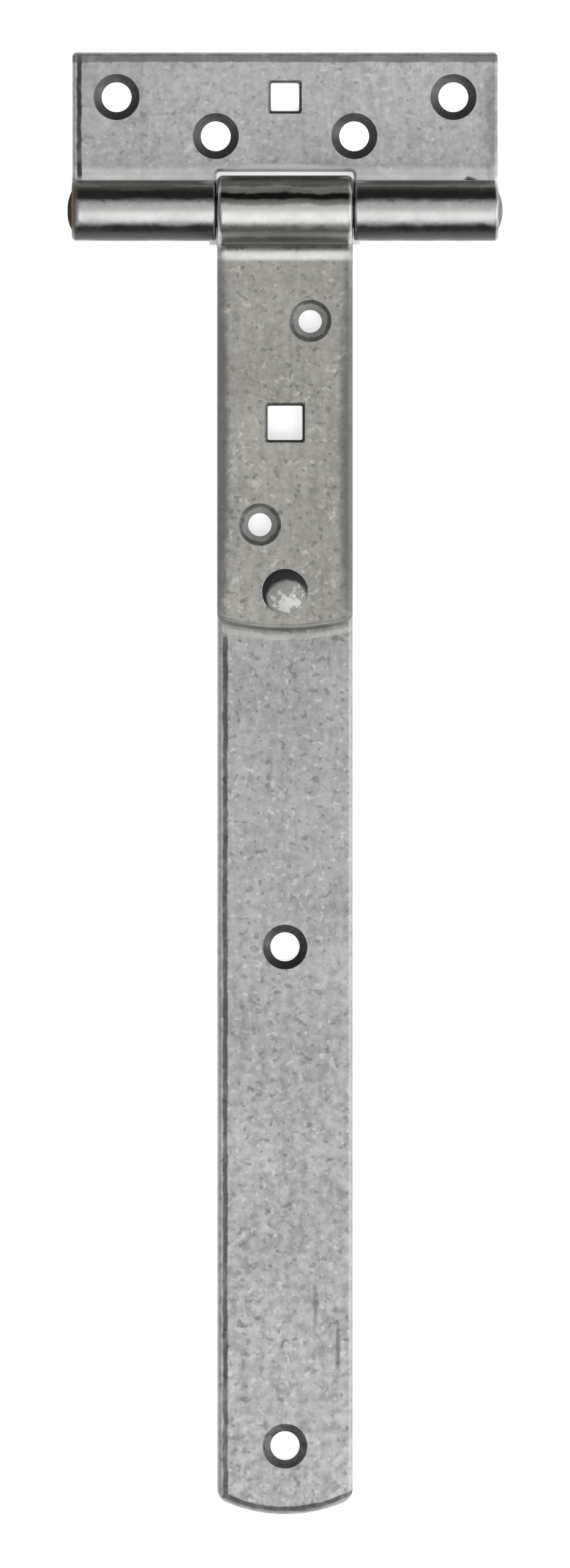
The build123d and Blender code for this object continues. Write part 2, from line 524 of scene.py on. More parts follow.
class NodeSheet:
    """A material's nodes, with one short method for each kind that the finishes use."""

    FLECK_EDGES: ClassVar[tuple[float, float]] = (0.78, 0.86)
    HEIGHT_SOFT: ClassVar[float] = 0.5
    CREVICE_RAYS: ClassVar[int] = 8
    MIX_COLOURS: ClassVar[tuple[int, int]] = (6, 7)
    MIX_RESULT: ClassVar[int] = 2

    def __init__(self, name: str) -> None:
        """Start an empty material.

        Args:
            name: The material's name.
        """
        self.material = bpy.data.materials.new(name)
        self.material.use_nodes = True
        self.nodes = self.material.node_tree.nodes
        self.links = self.material.node_tree.links
        self.nodes.clear()
        self.object_place = self.nodes.new("ShaderNodeTexCoord").outputs["Object"]
        self.place = self.mapped((1 / MM, 1 / MM, 1 / MM))

    def feed(self, socket: bpy.types.NodeSocket, value: object) -> None:
        """Link a socket to another, or set it to a plain value.

        Args:
            socket: The socket to feed.
            value: Another node's output, or a plain value.
        """
        if isinstance(value, bpy.types.NodeSocket):
            self.links.new(value, socket)
        else:
            socket.default_value = value

    def mapped(self, scale: Triple, shift: Triple = (0.0, 0.0, 0.0)) -> bpy.types.NodeSocket:
        """Scale and shift the place on the object.

        Args:
            scale: The scale along each axis.
            shift: The shift along each axis, after the scale.

        Returns:
            The new place.
        """
        node = self.nodes.new("ShaderNodeMapping")
        node.inputs["Scale"].default_value = scale
        node.inputs["Location"].default_value = shift
        self.links.new(self.object_place, node.inputs["Vector"])
        return node.outputs["Vector"]

    def noise(
        self,
        size: float,
        detail: float = 2.0,
        stretch: Triple = (1.0, 1.0, 1.0),
        seed: float = 0.0,
        distortion: float = 0.0,
    ) -> bpy.types.NodeSocket:
        """Make smooth random patches.

        Args:
            size: Size of a patch in millimetres.
            detail: How many finer layers are added.
            stretch: How much longer a patch is along each axis.
            seed: A shift that gives other patches.
            distortion: How far the patches are stirred.

        Returns:
            A value about one half.
        """
        node = self.nodes.new("ShaderNodeTexNoise")
        node.inputs["Scale"].default_value = 1.0
        node.inputs["Detail"].default_value = detail
        node.inputs["Distortion"].default_value = distortion
        scale = tuple(1 / (MM * size * s) for s in stretch)
        self.links.new(self.mapped(scale, (seed, -seed, 2 * seed)), node.inputs["Vector"])
        return node.outputs["Fac"]

    def scatter(self, size: float, share: float, seed: float) -> bpy.types.NodeSocket:
        """Scatter small ragged flecks.

        Args:
            size: Their size in millimetres.
            share: How far they spread, from nought to one half.
            seed: A shift that gives other flecks.

        Returns:
            One in a fleck, and nought outside.
        """
        low, high = self.FLECK_EDGES
        patches = self.noise(size, detail=1.0, seed=seed)
        return self.span(patches, low - share, high - share)

    def math(self, operation: str, first: object, second: object = 0.0) -> bpy.types.NodeSocket:
        """Combine two values.

        Args:
            operation: What is done with them.
            first: The first value.
            second: The second value.

        Returns:
            The result.
        """
        node = self.nodes.new("ShaderNodeMath")
        node.operation = operation
        self.feed(node.inputs[0], first)
        self.feed(node.inputs[1], second)
        return node.outputs[0]

    def span(
        self,
        value: bpy.types.NodeSocket,
        low: float,
        high: float,
        start: float = 0.0,
        end: float = 1.0,
    ) -> bpy.types.NodeSocket:
        """Map a value smoothly from one span to another, and hold it there.

        Args:
            value: The value to map.
            low: Where the first span starts.
            high: Where the first span ends.
            start: What low becomes.
            end: What high becomes.

        Returns:
            The mapped value.
        """
        node = self.nodes.new("ShaderNodeMapRange")
        node.interpolation_type = "SMOOTHSTEP"
        self.links.new(value, node.inputs["Value"])
        node.inputs["From Min"].default_value = low
        node.inputs["From Max"].default_value = high
        node.inputs["To Min"].default_value = start
        node.inputs["To Max"].default_value = end
        return node.outputs["Result"]

    def gather(
        self, parts: Sequence[tuple[bpy.types.NodeSocket, object]], middle: float
    ) -> bpy.types.NodeSocket:
        """Add up values that lie about one half, each by its own weight.

        Args:
            parts: The values with their weights.
            middle: What the sum lies about.

        Returns:
            The sum.
        """
        total: object = middle
        for value, weight in parts:
            centred = self.math("SUBTRACT", value, 0.5)
            total = self.math("ADD", total, self.math("MULTIPLY", centred, weight))
        return total

    def mix(
        self,
        factor: bpy.types.NodeSocket,
        first: object,
        second: object,
        blend: Blend = Blend.COVER,
    ) -> bpy.types.NodeSocket:
        """Lay a second colour over a first.

        Args:
            factor: How much of the second shows.
            first: The colour below.
            second: The colour above.
            blend: The way that the second goes over the first.

        Returns:
            The new colour.
        """
        node = self.nodes.new("ShaderNodeMix")
        node.data_type = "RGBA"
        node.blend_type = blend.value
        self.links.new(factor, node.inputs["Factor"])
        for index, colour in zip(self.MIX_COLOURS, (first, second)):
            opaque = (*colour, 1.0) if isinstance(colour, tuple) else colour
            self.feed(node.inputs[index], opaque)
        return node.outputs[self.MIX_RESULT]

    def axis(self, index: int) -> bpy.types.NodeSocket:
        """Give one coordinate of the place.

        Args:
            index: Nought along the pin, one along the strap and two out of the front.

        Returns:
            The coordinate in millimetres.
        """
        node = self.nodes.new("ShaderNodeSeparateXYZ")
        self.links.new(self.place, node.inputs["Vector"])
        return node.outputs[index]

    def vector(
        self, operation: str, first: object, second: object = (0.0, 0.0, 0.0)
    ) -> bpy.types.bpy_prop_collection:
        """Combine two vectors.

        Args:
            operation: What is done with them.
            first: The first vector.
            second: The second vector.

        Returns:
            The outputs, "Vector" and "Value".
        """
        node = self.nodes.new("ShaderNodeVectorMath")
        node.operation = operation
        self.feed(node.inputs[0], first)
        self.feed(node.inputs[1], second)
        return node.outputs

    def within(
        self, value: bpy.types.NodeSocket, low: float, high: float, soft: float
    ) -> bpy.types.NodeSocket:
        """Mask where a value lies between two bounds.

        Args:
            value: The value to look at.
            low: The lower bound.
            high: The upper bound.
            soft: How far the mask fades on each side of a bound.

        Returns:
            One between the bounds, and nought outside.
        """
        rising = self.span(value, low - soft, low + soft)
        falling = self.span(value, high + soft, high - soft)
        return self.math("MULTIPLY", rising, falling)

    def above(self, height: float) -> bpy.types.NodeSocket:
        """Mask where the place is higher than so many millimetres above the back."""
        return self.span(self.axis(2), height - self.HEIGHT_SOFT, height + self.HEIGHT_SOFT)

    def turn_about_pin(self, height: float) -> bpy.types.NodeSocket:
        """Give the angle about the pin in radians, nought in front and positive to the leaf."""
        above = self.math("SUBTRACT", self.axis(2), height)
        return self.math("ARCTAN2", self.axis(1), above)

    def attribute(self, name: str) -> bpy.types.NodeSocket:
        """Read one of the piece's own attributes.

        Args:
            name: The attribute's name.

        Returns:
            Its value.
        """
        node = self.nodes.new("ShaderNodeAttribute")
        node.attribute_name = name
        return node.outputs["Fac"]

    def crevices(self, distance: float) -> bpy.types.NodeSocket:
        """Give how open the piece's own surface is.

        Args:
            distance: How far it looks about, in metres.

        Returns:
            Nought deep in a corner, and one in the open.
        """
        node = self.nodes.new("ShaderNodeAmbientOcclusion")
        node.samples = self.CREVICE_RAYS
        node.only_local = True
        node.inputs["Distance"].default_value = distance
        return node.outputs["AO"]

    def bump(self, height: bpy.types.NodeSocket, depth: float) -> bpy.types.NodeSocket:
        """Raise the surface.

        Args:
            height: The height, between nought and one.
            depth: What a height of one stands for, in metres.

        Returns:
            The raised surface's normal.
        """
        node = self.nodes.new("ShaderNodeBump")
        node.inputs["Strength"].default_value = 1.0
        node.inputs["Distance"].default_value = depth
        self.links.new(height, node.inputs["Height"])
        return node.outputs["Normal"]

    def surface(self) -> bpy.types.Node:
        """Add the shader itself and the output.

        Returns:
            The shader.
        """
        shader = self.nodes.new("ShaderNodeBsdfPrincipled")
        output = self.nodes.new("ShaderNodeOutputMaterial")
        self.links.new(shader.outputs["BSDF"], output.inputs["Surface"])
        return shader


@dataclass(frozen=True)
class StainOrPaintedLight:
    """A patch of dirt or rust, or of painted light or shade.

    Attributes:
        middle: Its middle in millimetres.
        spread: Its half sizes in millimetres.
        colour: Its colour.
        strength: How well it covers.
        ragged: How much its edge wanders.
        core: Share of its half size that is fully covered.
        grit: Size of the wandering in millimetres.
    """

    middle: Triple
    spread: Triple
    colour: Colour
    strength: float
    ragged: float = 1.2
    core: float = 0.45
    grit: float = 3.0

    def mask(self, sheet: NodeSheet) -> bpy.types.NodeSocket:
        """Mask the patch.

        Args:
            sheet: The finish's nodes.

        Returns:
            Nought outside the patch, and its strength inside.
        """
        offset = sheet.vector("SUBTRACT", sheet.place, self.middle)["Vector"]
        scaled = sheet.vector("DIVIDE", offset, self.spread)["Vector"]
        length = sheet.vector("LENGTH", scaled)["Value"]
        grit = sheet.noise(self.grit, detail=3.0, seed=self.middle[0])
        wander = sheet.gather([(grit, self.ragged)], 0.0)
        patch = sheet.span(sheet.math("ADD", length, wander), 1.0, self.core)
        return sheet.math("MULTIPLY", patch, self.strength)


@dataclass(frozen=True)
class Band:
    """A stripe across the piece that is lighter or darker than the rest.

    Attributes:
        low: Where it starts down the strap, in millimetres.
        high: Where it ends.
        soft: How far its edges fade.
        least_height: How high above the back it lies at least, in millimetres.
        colour: Its colour.
        strength: How well it covers.
        blend: The way that it goes over the zinc.
    """

    low: float
    high: float
    soft: float
    least_height: float
    colour: Colour
    strength: float
    blend: Blend = Blend.COVER

    def mask(self, sheet: NodeSheet) -> bpy.types.NodeSocket:
        """Mask the stripe.

        Args:
            sheet: The finish's nodes.

        Returns:
            Nought outside the stripe, and its strength inside.
        """
        stripe = sheet.within(sheet.axis(1), self.low, self.high, self.soft)
        raised = sheet.math("MULTIPLY", stripe, sheet.above(self.least_height))
        return sheet.math("MULTIPLY", raised, self.strength)


@dataclass(frozen=True)
class PaintedRollStripe:
    """A stripe along a roll, painted lighter as a highlight or darker as a reflection of dark
    surroundings.

    Attributes:
        low: Where it starts, in degrees about the pin, nought in front and positive to the leaf.
        high: Where it ends.
        soft: How far its edges fade, in degrees.
        colour: Its colour.
        strength: How well it covers.
    """

    low: float
    high: float
    soft: float
    colour: Colour
    strength: float

    def mask(self, sheet: NodeSheet, turned: bpy.types.NodeSocket) -> bpy.types.NodeSocket:
        """Mask the stripe.

        Args:
            sheet: The finish's nodes.
            turned: The angle about the pin in radians, with a wander of its own.

        Returns:
            Nought outside the stripe, and its strength inside.
        """
        low, high, soft = map(math.radians, (self.low, self.high, self.soft))
        stripe = sheet.within(turned, low, high, soft)
        return sheet.math("MULTIPLY", stripe, self.strength)


@dataclass(frozen=True)
class StraightEdge:
    """A straight edge of a piece's outline.

    Attributes:
        facing: The way that the edge faces, of length one.
        reach: How far it stands from the origin, in millimetres.
    """

    facing: Triple
    reach: float

    def depth(self, sheet: NodeSheet) -> bpy.types.NodeSocket:
        """Give how far inside the edge a place lies, in millimetres."""
        out = sheet.vector("DOT_PRODUCT", sheet.place, self.facing)["Value"]
        return sheet.math("SUBTRACT", self.reach, out)


@dataclass(frozen=True)
class BowedEdge:
    """An edge across the strap, bowed along an arc and facing away from the pin.

    Attributes:
        reach: How far its middle stands from the pin's axis, in millimetres.
        radius: The arc's radius in millimetres.
    """

    reach: float
    radius: float

    def depth(self, sheet: NodeSheet) -> bpy.types.NodeSocket:
        """Give how far inside the edge a place lies.

        Args:
            sheet: The finish's nodes.

        Returns:
            The depth in millimetres.
        """
        x, y = sheet.axis(0), sheet.axis(1)
        past_centre = sheet.math("MINIMUM", sheet.math("ADD", y, self.reach - self.radius), 0.0)
        x_squared = sheet.math("MULTIPLY", x, x)
        squares = sheet.math("ADD", x_squared, sheet.math("POWER", past_centre, 2.0))
        return sheet.math("SUBTRACT", self.radius, sheet.math("SQRT", squares))


@dataclass(frozen=True)
class RimLine:
    """A darker or lighter line along a piece's edges, painted as the shade or the highlight that
    they catch.

    Attributes:
        edges: The edges that it follows.
        stretch: Between which places along the strap it runs, in millimetres.
        least_height: How high above the back it lies at least, in millimetres.
        start: How far inside the edges it starts, in millimetres.
        end: How far inside them it ends.
        colour: Its colour.
        strength: How well it covers.
    """

    edges: tuple[StraightEdge | BowedEdge, ...]
    stretch: tuple[float, float]
    least_height: float
    start: float
    end: float
    colour: Colour = (0.014, 0.014, 0.014)
    strength: float = 0.92

    WANDER: ClassVar[float] = 0.7
    SOFT: ClassVar[float] = 0.22
    END_SOFT: ClassVar[float] = 1.0
    FAINTEST: ClassVar[float] = 0.75

    def mask(self, sheet: NodeSheet) -> bpy.types.NodeSocket:
        """Mask the line, which wanders a little and is fainter in patches.

        Args:
            sheet: The finish's nodes.

        Returns:
            Nought outside the line, and up to its strength inside.
        """
        depth = self.edges[0].depth(sheet)
        for edge in self.edges[1:]:
            depth = sheet.math("MINIMUM", depth, edge.depth(sheet))
        wander = sheet.gather([(sheet.noise(3.0, detail=3.0, seed=6.1), self.WANDER)], 0.0)
        line = sheet.within(sheet.math("ADD", depth, wander), self.start, self.end, self.SOFT)
        along = sheet.within(sheet.axis(1), *self.stretch, self.END_SOFT)
        raised = sheet.math("MULTIPLY", along, sheet.above(self.least_height))
        patches = sheet.noise(7.0, detail=3.0, seed=2.7)
        faintest = self.FAINTEST * self.strength
        patchy = sheet.span(patches, 0.32, 0.56, start=faintest, end=self.strength)
        return sheet.math("MULTIPLY", sheet.math("MULTIPLY", line, raised), patchy)


@dataclass(frozen=True)
class ZincFinish:
    """Dull zinc on rolled steel, clouded and flecked, bright at its edges with wear and a painted
    sheen, and dark in its corners with painted shade.

    Attributes:
        name: The material's name.
        dark: Colour of the darker zinc.
        light: Colour of the lighter zinc.
        flecks: Weight of the flecks.
        specks: Weight of the scattered specks.
        tip_light_and_flecks: Painted light, and weight of flecks, gained towards the strap's tip.
        roughness: Least and most roughness.
        roll_polish: How much less rough a roll is.
        grain_depth: Depth of the surface's unevenness, in metres.
        corner_shade_colour: Colour of the painted shade in corners.
        corner_shade_cover: How well that covers.
        edge: Colour of the rounded edges, brightened by rubbing and by a painted sheen.
        edge_cover: How well that covers.
        scale: Colour of the dark scale and painted shade on the walls of holes.
        patch_gloss: How much the patches of dirt, rust and painted light and shade still shine.
        pin_height: Height of the pin's axis in millimetres, where the piece is rolled round it.
        stripes: The painted highlights and dark reflections along the roll, from the lowest to the
            topmost.
        bands: Lighter or darker stripes across the piece: tints and painted highlights.
        rims: The lines along its edges, painted shade and highlight.
        stains_and_painted_light: The patches of dirt and rust, and of painted light and shade.
    """

    name: str
    dark: Colour
    light: Colour
    flecks: float = 0.8
    specks: float = 0.3
    tip_light_and_flecks: float = 0.0
    roughness: tuple[float, float] = (0.46, 0.62)
    roll_polish: float = 0.2
    grain_depth: float = 0.035 * MM
    corner_shade_colour: Colour = (0.03, 0.027, 0.023)
    corner_shade_cover: float = 0.75
    edge: Colour = (0.72, 0.72, 0.71)
    edge_cover: float = 0.3
    scale: Colour = (0.05, 0.049, 0.047)
    patch_gloss: float = 0.5
    pin_height: float = 0.0
    stripes: tuple[PaintedRollStripe, ...] = ()
    bands: tuple[Band, ...] = ()
    rims: tuple[RimLine, ...] = ()
    stains_and_painted_light: tuple[StainOrPaintedLight, ...] = ()

    TIP_STRETCH: ClassVar[tuple[float, float]] = (-95.0, -290.0)
    TIP_PAINTED_LIGHT: ClassVar[float] = 0.16
    ROLL_FRONT: ClassVar[float] = math.radians(88)
    ROLL_SOFT: ClassVar[float] = 0.05
    CORNER_DEPTH: ClassVar[float] = 1.6 * MM
    PATCH_ROUGHNESS: ClassVar[float] = 0.3

    def make(self) -> bpy.types.Material:
        """Build the finish's nodes.

        Returns:
            The finished material.
        """
        sheet = NodeSheet(self.name)
        mottle = sheet.noise(6.5, detail=3.0, seed=4.1, distortion=0.6)
        flecks = sheet.noise(2.3, detail=4.0, seed=7.7, distortion=0.3)
        colour = self._zinc(sheet, mottle, flecks)
        for band in self.bands:
            colour = sheet.mix(band.mask(sheet), colour, band.colour, band.blend)
        relief = [(mottle, 0.8), (flecks, 0.5)]
        dull = sheet.span(sheet.gather(relief, 0.5), 0.2, 0.8, *self.roughness)
        if self.stripes:
            colour, dull = self._paint_roll_light(sheet, colour, dull, mottle)
        colour = self._wear_and_painted_shade(sheet, colour)
        shader = sheet.surface()
        shader.inputs["Specular IOR Level"].default_value = self.patch_gloss
        if self.stains_and_painted_light:
            colour, dull = self._lay_stains_and_painted_light(sheet, shader, colour, dull)
        else:
            shader.inputs["Metallic"].default_value = 1.0
        sheet.feed(shader.inputs["Base Color"], colour)
        sheet.feed(shader.inputs["Roughness"], dull)
        grain = sheet.noise(0.5, detail=2.0, stretch=(1.0, 3.0, 1.0), seed=3.3)
        unevenness = sheet.gather([*relief, (grain, 0.12)], 0.5)
        sheet.feed(shader.inputs["Normal"], sheet.bump(unevenness, self.grain_depth))
        return sheet.material

    def _zinc(
        self, sheet: NodeSheet, mottle: bpy.types.NodeSocket, flecks: bpy.types.NodeSocket
    ) -> bpy.types.NodeSocket:
        """Mix the zinc's own colour from patches, streaks and specks.

        Args:
            sheet: The finish's nodes.
            mottle: The middling patches.
            flecks: The small flecks.

        Returns:
            The colour before any wear.
        """
        clouds = sheet.noise(26.0, detail=2.0, seed=1.3)
        fine = sheet.noise(1.0, detail=2.0, seed=5.9)
        streaks = sheet.noise(1.5, detail=2.0, stretch=(1.0, 7.0, 1.0), seed=9.4)
        toward_tip = sheet.span(sheet.axis(1), *self.TIP_STRETCH)
        tip_flecks = sheet.math("MULTIPLY", toward_tip, self.tip_light_and_flecks)
        fleck_weight = sheet.math("ADD", tip_flecks, self.flecks)
        pits = sheet.math("MULTIPLY", sheet.scatter(1.7, share=0.16, seed=3.7), -self.specks)
        glints = sheet.math("MULTIPLY", sheet.scatter(1.6, share=0.15, seed=8.2), self.specks)
        tone = sheet.gather(
            [
                (clouds, 0.45),
                (mottle, 0.55),
                (flecks, fleck_weight),
                (fine, 0.45),
                (streaks, 0.35),
                # Painted light that grows towards the strap's tip
                (toward_tip, self.tip_light_and_flecks * self.TIP_PAINTED_LIGHT),
            ],
            0.5,
        )
        tone = sheet.math("ADD", tone, sheet.math("ADD", pits, glints))
        return sheet.mix(sheet.span(tone, -0.2, 1.2), self.dark, self.light)

    def _paint_roll_light(
        self,
        sheet: NodeSheet,
        colour: bpy.types.NodeSocket,
        dull: bpy.types.NodeSocket,
        mottle: bpy.types.NodeSocket,
    ) -> tuple[bpy.types.NodeSocket, bpy.types.NodeSocket]:
        """Lay the painted highlights and dark reflections along the roll, and smooth its front.

        Args:
            sheet: The finish's nodes.
            colour: The colour so far.
            dull: The roughness so far.
            mottle: Patches that break up the rubbing.

        Returns:
            The new colour and the new roughness.
        """
        turned = sheet.turn_about_pin(self.pin_height)
        ragged = sheet.math("ADD", turned, sheet.gather([(mottle, 0.25)], 0.0))
        for stripe in self.stripes:
            colour = sheet.mix(stripe.mask(sheet, ragged), colour, stripe.colour)
        rolled = sheet.within(turned, -self.ROLL_FRONT, self.ROLL_FRONT, self.ROLL_SOFT)
        polish = sheet.math("MULTIPLY", rolled, self.roll_polish)
        return colour, sheet.math("SUBTRACT", dull, polish)

    def _wear_and_painted_shade(self, sheet: NodeSheet, colour: bpy.types.NodeSocket) -> bpy.types.NodeSocket:
        """Brighten the edges with wear and a painted sheen, draw the painted lines along them, and
        darken the holes with scale and painted shade and the corners with painted shade.

        Args:
            sheet: The finish's nodes.
            colour: The colour so far.

        Returns:
            The new colour.
        """
        # Rubbed edges, with a painted sheen
        wear_and_sheen = sheet.math("MULTIPLY", sheet.attribute(EDGE_WEAR_AND_SHEEN), self.edge_cover)
        colour = sheet.mix(wear_and_sheen, colour, self.edge)
        # Painted shade and highlight lines along the edges
        for rim in self.rims:
            colour = sheet.mix(rim.mask(sheet), colour, rim.colour)
        # Dark scale and painted shade on the walls of holes
        colour = sheet.mix(sheet.attribute(SINK_SCALE_AND_SHADE), colour, self.scale)
        # Painted shade in the corners, where the surface is least open
        corners = sheet.span(sheet.crevices(self.CORNER_DEPTH), 0.75, 0.2)
        corner_shade = sheet.math("MULTIPLY", corners, self.corner_shade_cover)
        return sheet.mix(corner_shade, colour, self.corner_shade_colour)

    def _lay_stains_and_painted_light(
        self,
        sheet: NodeSheet,
        shader: bpy.types.Node,
        colour: bpy.types.NodeSocket,
        dull: bpy.types.NodeSocket,
    ) -> tuple[bpy.types.NodeSocket, bpy.types.NodeSocket]:
        """Lay the patches of dirt, rust and painted light and shade, which are dull and no metal.

        Args:
            sheet: The finish's nodes.
            shader: The shader, whose metal is covered.
            colour: The colour so far.
            dull: The roughness so far.

        Returns:
            The new colour and the new roughness.
        """
        covered: object = 0.0
        for stain_or_light in self.stains_and_painted_light:
            cover = stain_or_light.mask(sheet)
            colour = sheet.mix(cover, colour, stain_or_light.colour)
            covered = sheet.math("MAXIMUM", covered, cover)
        sheet.feed(shader.inputs["Metallic"], sheet.math("SUBTRACT", 1.0, covered))
        duller = sheet.math("MULTIPLY", covered, self.PATCH_ROUGHNESS)
        return colour, sheet.math("ADD", dull, duller)


@dataclass
class Piece:
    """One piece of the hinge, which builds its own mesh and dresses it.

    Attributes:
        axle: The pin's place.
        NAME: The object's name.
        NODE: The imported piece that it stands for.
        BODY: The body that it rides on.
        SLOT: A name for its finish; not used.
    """

    axle: Axle

    NAME: ClassVar[str]
    NODE: ClassVar[str]
    BODY: ClassVar[str]
    SLOT: ClassVar[str]
    CREASE: ClassVar[float] = math.radians(32)
    EDGE_LEAN: ClassVar[tuple[float, float]] = (0.1, 0.5)
    WALL_LEAN: ClassVar[tuple[float, float]] = (0.9, 1.0)

    @property
    def holes(self) -> tuple[Hole, ...]:
        """The holes through the piece."""
        return ()

    def build(self) -> bpy.types.Object:
        """Model the piece."""
        raise NotImplementedError

    def finish(self) -> ZincFinish:
        """Describe the piece's finish."""
        raise NotImplementedError

    def punch(self, made: bpy.types.Object) -> None:
        """Cut the holes through the piece.

        Args:
            made: The piece's object.
        """
        tool = HoleTool(f"{self.NODE}_holes")
        for hole in self.holes:
            tool.add(hole)
        tool.cut(made)

    def dress(self, made: bpy.types.Object) -> None:
        """Shade the piece, give it its finish and hand it to its body.

        Args:
            made: The piece as it was built.
        """
        self._mark_edges_and_hole_walls(made.data)
        made.data.shade_smooth()
        made.data.set_sharp_from_angle(angle=self.CREASE)
        weighted = made.modifiers.new("even_normals", "WEIGHTED_NORMAL")
        weighted.keep_sharp = True
        made.data.materials.clear()
        made.data.materials.append(self.finish().make())
        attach(made, self.BODY)
        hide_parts(self.NODE)

    def _mark_edges_and_hole_walls(self, mesh: bpy.types.Mesh) -> None:
        """Mark rounded edges and the walls of holes, so that the finish can brighten the edges with
        wear and a painted sheen, and blacken the walls with scale and painted shade.

        Args:
            mesh: The piece's mesh, which gains two attributes.
        """
        wear_and_sheen_layer = mesh.attributes.new(EDGE_WEAR_AND_SHEEN, "FLOAT", "FACE")
        scale = mesh.attributes.new(SINK_SCALE_AND_SHADE, "FLOAT", "FACE")
        holes = self.holes
        for face, wear_and_sheen, scaled in zip(mesh.polygons, wear_and_sheen_layer.data, scale.data):
            lean = abs(face.normal.x)
            if not ROLLED_STRETCH[0] < face.center.y < ROLLED_STRETCH[1]:
                lean = face.normal.xy.length
            inside = [hole for hole in holes if hole.holds(face.center)]
            if inside:
                scaled.value = inside[0].scale_and_shade_on(face.normal)
            else:
                wall = smooth_step(*self.WALL_LEAN, lean)
                wear_and_sheen.value = smooth_step(*self.EDGE_LEAN, lean) * (1 - wall)


@dataclass
class Leaf(Piece):
    """The short wide plate, with its lower edge rolled into two knuckles.

    Attributes:
        length: Length along the pin.
        rise: The pin's axis to the top edge.
        knuckle_radius: Outer radius of the roll.
        notch_half: Half the notch's width.
        notch_top: The notch's upper edge.
        screws: The screw holes.
        bolt: The square hole.
        thickness: The sheet's thickness.
        sink_radius: Radius of the screw holes' sinks.
        sink_scale: How much dark scale and painted shade cover the walls of its holes.
        bolt_edge: Radius that rounds the square hole's front edge.
        roll_end_gap: From the roll's end to the flat below it.
        corner_radius: Radius of the outer corners.
        notch_corner_radius: Radius in the notch's corners.
        edge_roll: Radius of the blanked edges.
    """

    length: float
    rise: float
    knuckle_radius: float
    notch_half: float
    notch_top: float
    screws: tuple[Spot, ...]
    bolt: Spot
    thickness: float = 3.0 * MM
    sink_radius: float = 5.25 * MM
    sink_scale: float = 0.85
    bolt_edge: float = 0.8 * MM
    roll_end_gap: float = 0.4 * MM
    corner_radius: float = 1.0 * MM
    notch_corner_radius: float = 0.8 * MM
    edge_roll: float = 0.9 * MM

    NAME = "leaf_plate"
    NODE = "leaf"
    BODY = "leaf"
    SLOT = "zinc_sheet"
    SWEEP_STEPS: ClassVar[int] = 8
    ROLL_STEPS: ClassVar[int] = 72
    OUTER_STEPS: ClassVar[int] = 5
    INNER_STEPS: ClassVar[int] = 4
    EDGE_STEPS: ClassVar[int] = 5

    @property
    def holes(self) -> tuple[Hole, ...]:
        """The screw holes, then the square hole."""
        sink = (self.thickness, self.sink_radius, self.sink_scale)
        screws = [Hole(Punch.SCREW, *spot, *sink) for spot in self.screws]
        bolt = Hole(Punch.BOLT, *self.bolt, self.thickness, self.bolt_edge, self.sink_scale)
        return (*screws, bolt)

    def build(self) -> bpy.types.Object:
        """Model the plate from its top edge downwards, then punch it.

        Returns:
            The leaf's object.
        """
        bm = bmesh.new()
        corners = bmesh.ops.create_grid(bm, x_segments=1, y_segments=1, size=0.5)["verts"]
        bmesh.ops.scale(bm, verts=corners, vec=(self.length, self.thickness, 1.0))
        bmesh.ops.rotate(bm, verts=corners, matrix=Matrix.Rotation(math.pi / 2, 3, ALONG_PIN))
        bmesh.ops.translate(bm, verts=corners, vec=(0.0, self.rise, self.thickness / 2))
        for side in (-1, 1):
            bmesh.ops.bisect_plane(
                bm,
                geom=[*bm.verts, *bm.edges, *bm.faces],
                dist=WELD_DISTANCE,
                plane_co=(side * self.notch_half, 0.0, 0.0),
                plane_no=ALONG_PIN,
            )
        ends = push(bm, list(bm.faces), Vector((0.0, self.notch_top - self.rise, 0.0)))
        tongues = [face for face in ends if abs(face.calc_center_median().x) > self.notch_half]
        self._roll_tongues(bm, tongues)
        bmesh.ops.recalc_face_normals(bm, faces=bm.faces)
        self._round_corners(bm)
        made = into_object(bm, self.NAME)
        self.punch(made)
        return made

    def _roll_tongues(self, bm: bmesh.types.BMesh, tongues: list[bmesh.types.BMFace]) -> None:
        """Carry the two tongues down to the sweep, up it and round the pin.

        Args:
            bm: The plate's mesh.
            tongues: The faces at the tongues' ends.
        """
        roll_radius = self.knuckle_radius - self.thickness / 2
        start, lift = self.axle.sweep(roll_radius, self.thickness)
        tongues = push(bm, tongues, Vector((0.0, start - self.notch_top, 0.0)))
        sweep_centre = Vector((0.0, start, self.thickness / 2 + self.axle.sweep_radius))
        tongues = roll(bm, tongues, sweep_centre, -lift, self.SWEEP_STEPS)
        clear = self.axle.height - self.thickness - self.roll_end_gap
        turned = 1.5 * math.pi - lift + math.asin(clear / self.knuckle_radius)
        roll(bm, tongues, self.axle.centre, -turned, self.ROLL_STEPS)

    def _round_corners(self, bm: bmesh.types.BMesh) -> None:
        """Round the plate's corners, join its flat faces, and then round its whole outline.

        Args:
            bm: The plate's mesh.
        """
        half_way = (self.rise + self.notch_top) / 2
        corners = [edge for edge in sharp_edges(bm, SQUARE_ANGLE) if upright(edge)]
        outer = [edge for edge in corners if edge.verts[0].co.y > half_way]
        inner = [edge for edge in corners if edge.verts[0].co.y < half_way]
        round_edges(bm, outer, self.corner_radius, self.OUTER_STEPS)
        round_edges(bm, inner, self.notch_corner_radius, self.INNER_STEPS)
        bmesh.ops.dissolve_limit(bm, angle_limit=FLAT_ANGLE, verts=bm.verts, edges=bm.edges)
        outline = [edge for edge in sharp_edges(bm, SQUARE_ANGLE) if not self._ends_roll(edge)]
        round_edges(bm, outline, self.edge_roll, self.EDGE_STEPS)

    def _ends_roll(self, edge: bmesh.types.BMEdge) -> bool:
        """Tell whether an edge bounds a roll's end, which is hidden against the plate.

        Args:
            edge: The edge to look at.

        Returns:
            True where the edge lies below the notch and goes no way round the pin.
        """
        first, second = (corner.co - self.axle.centre for corner in edge.verts)
        below_notch = max(first.y, second.y) < self.notch_top - self.notch_corner_radius
        turned = math.atan2(second.z, second.y) - math.atan2(first.z, first.y)
        return below_notch and abs(turned) < FLAT_ANGLE

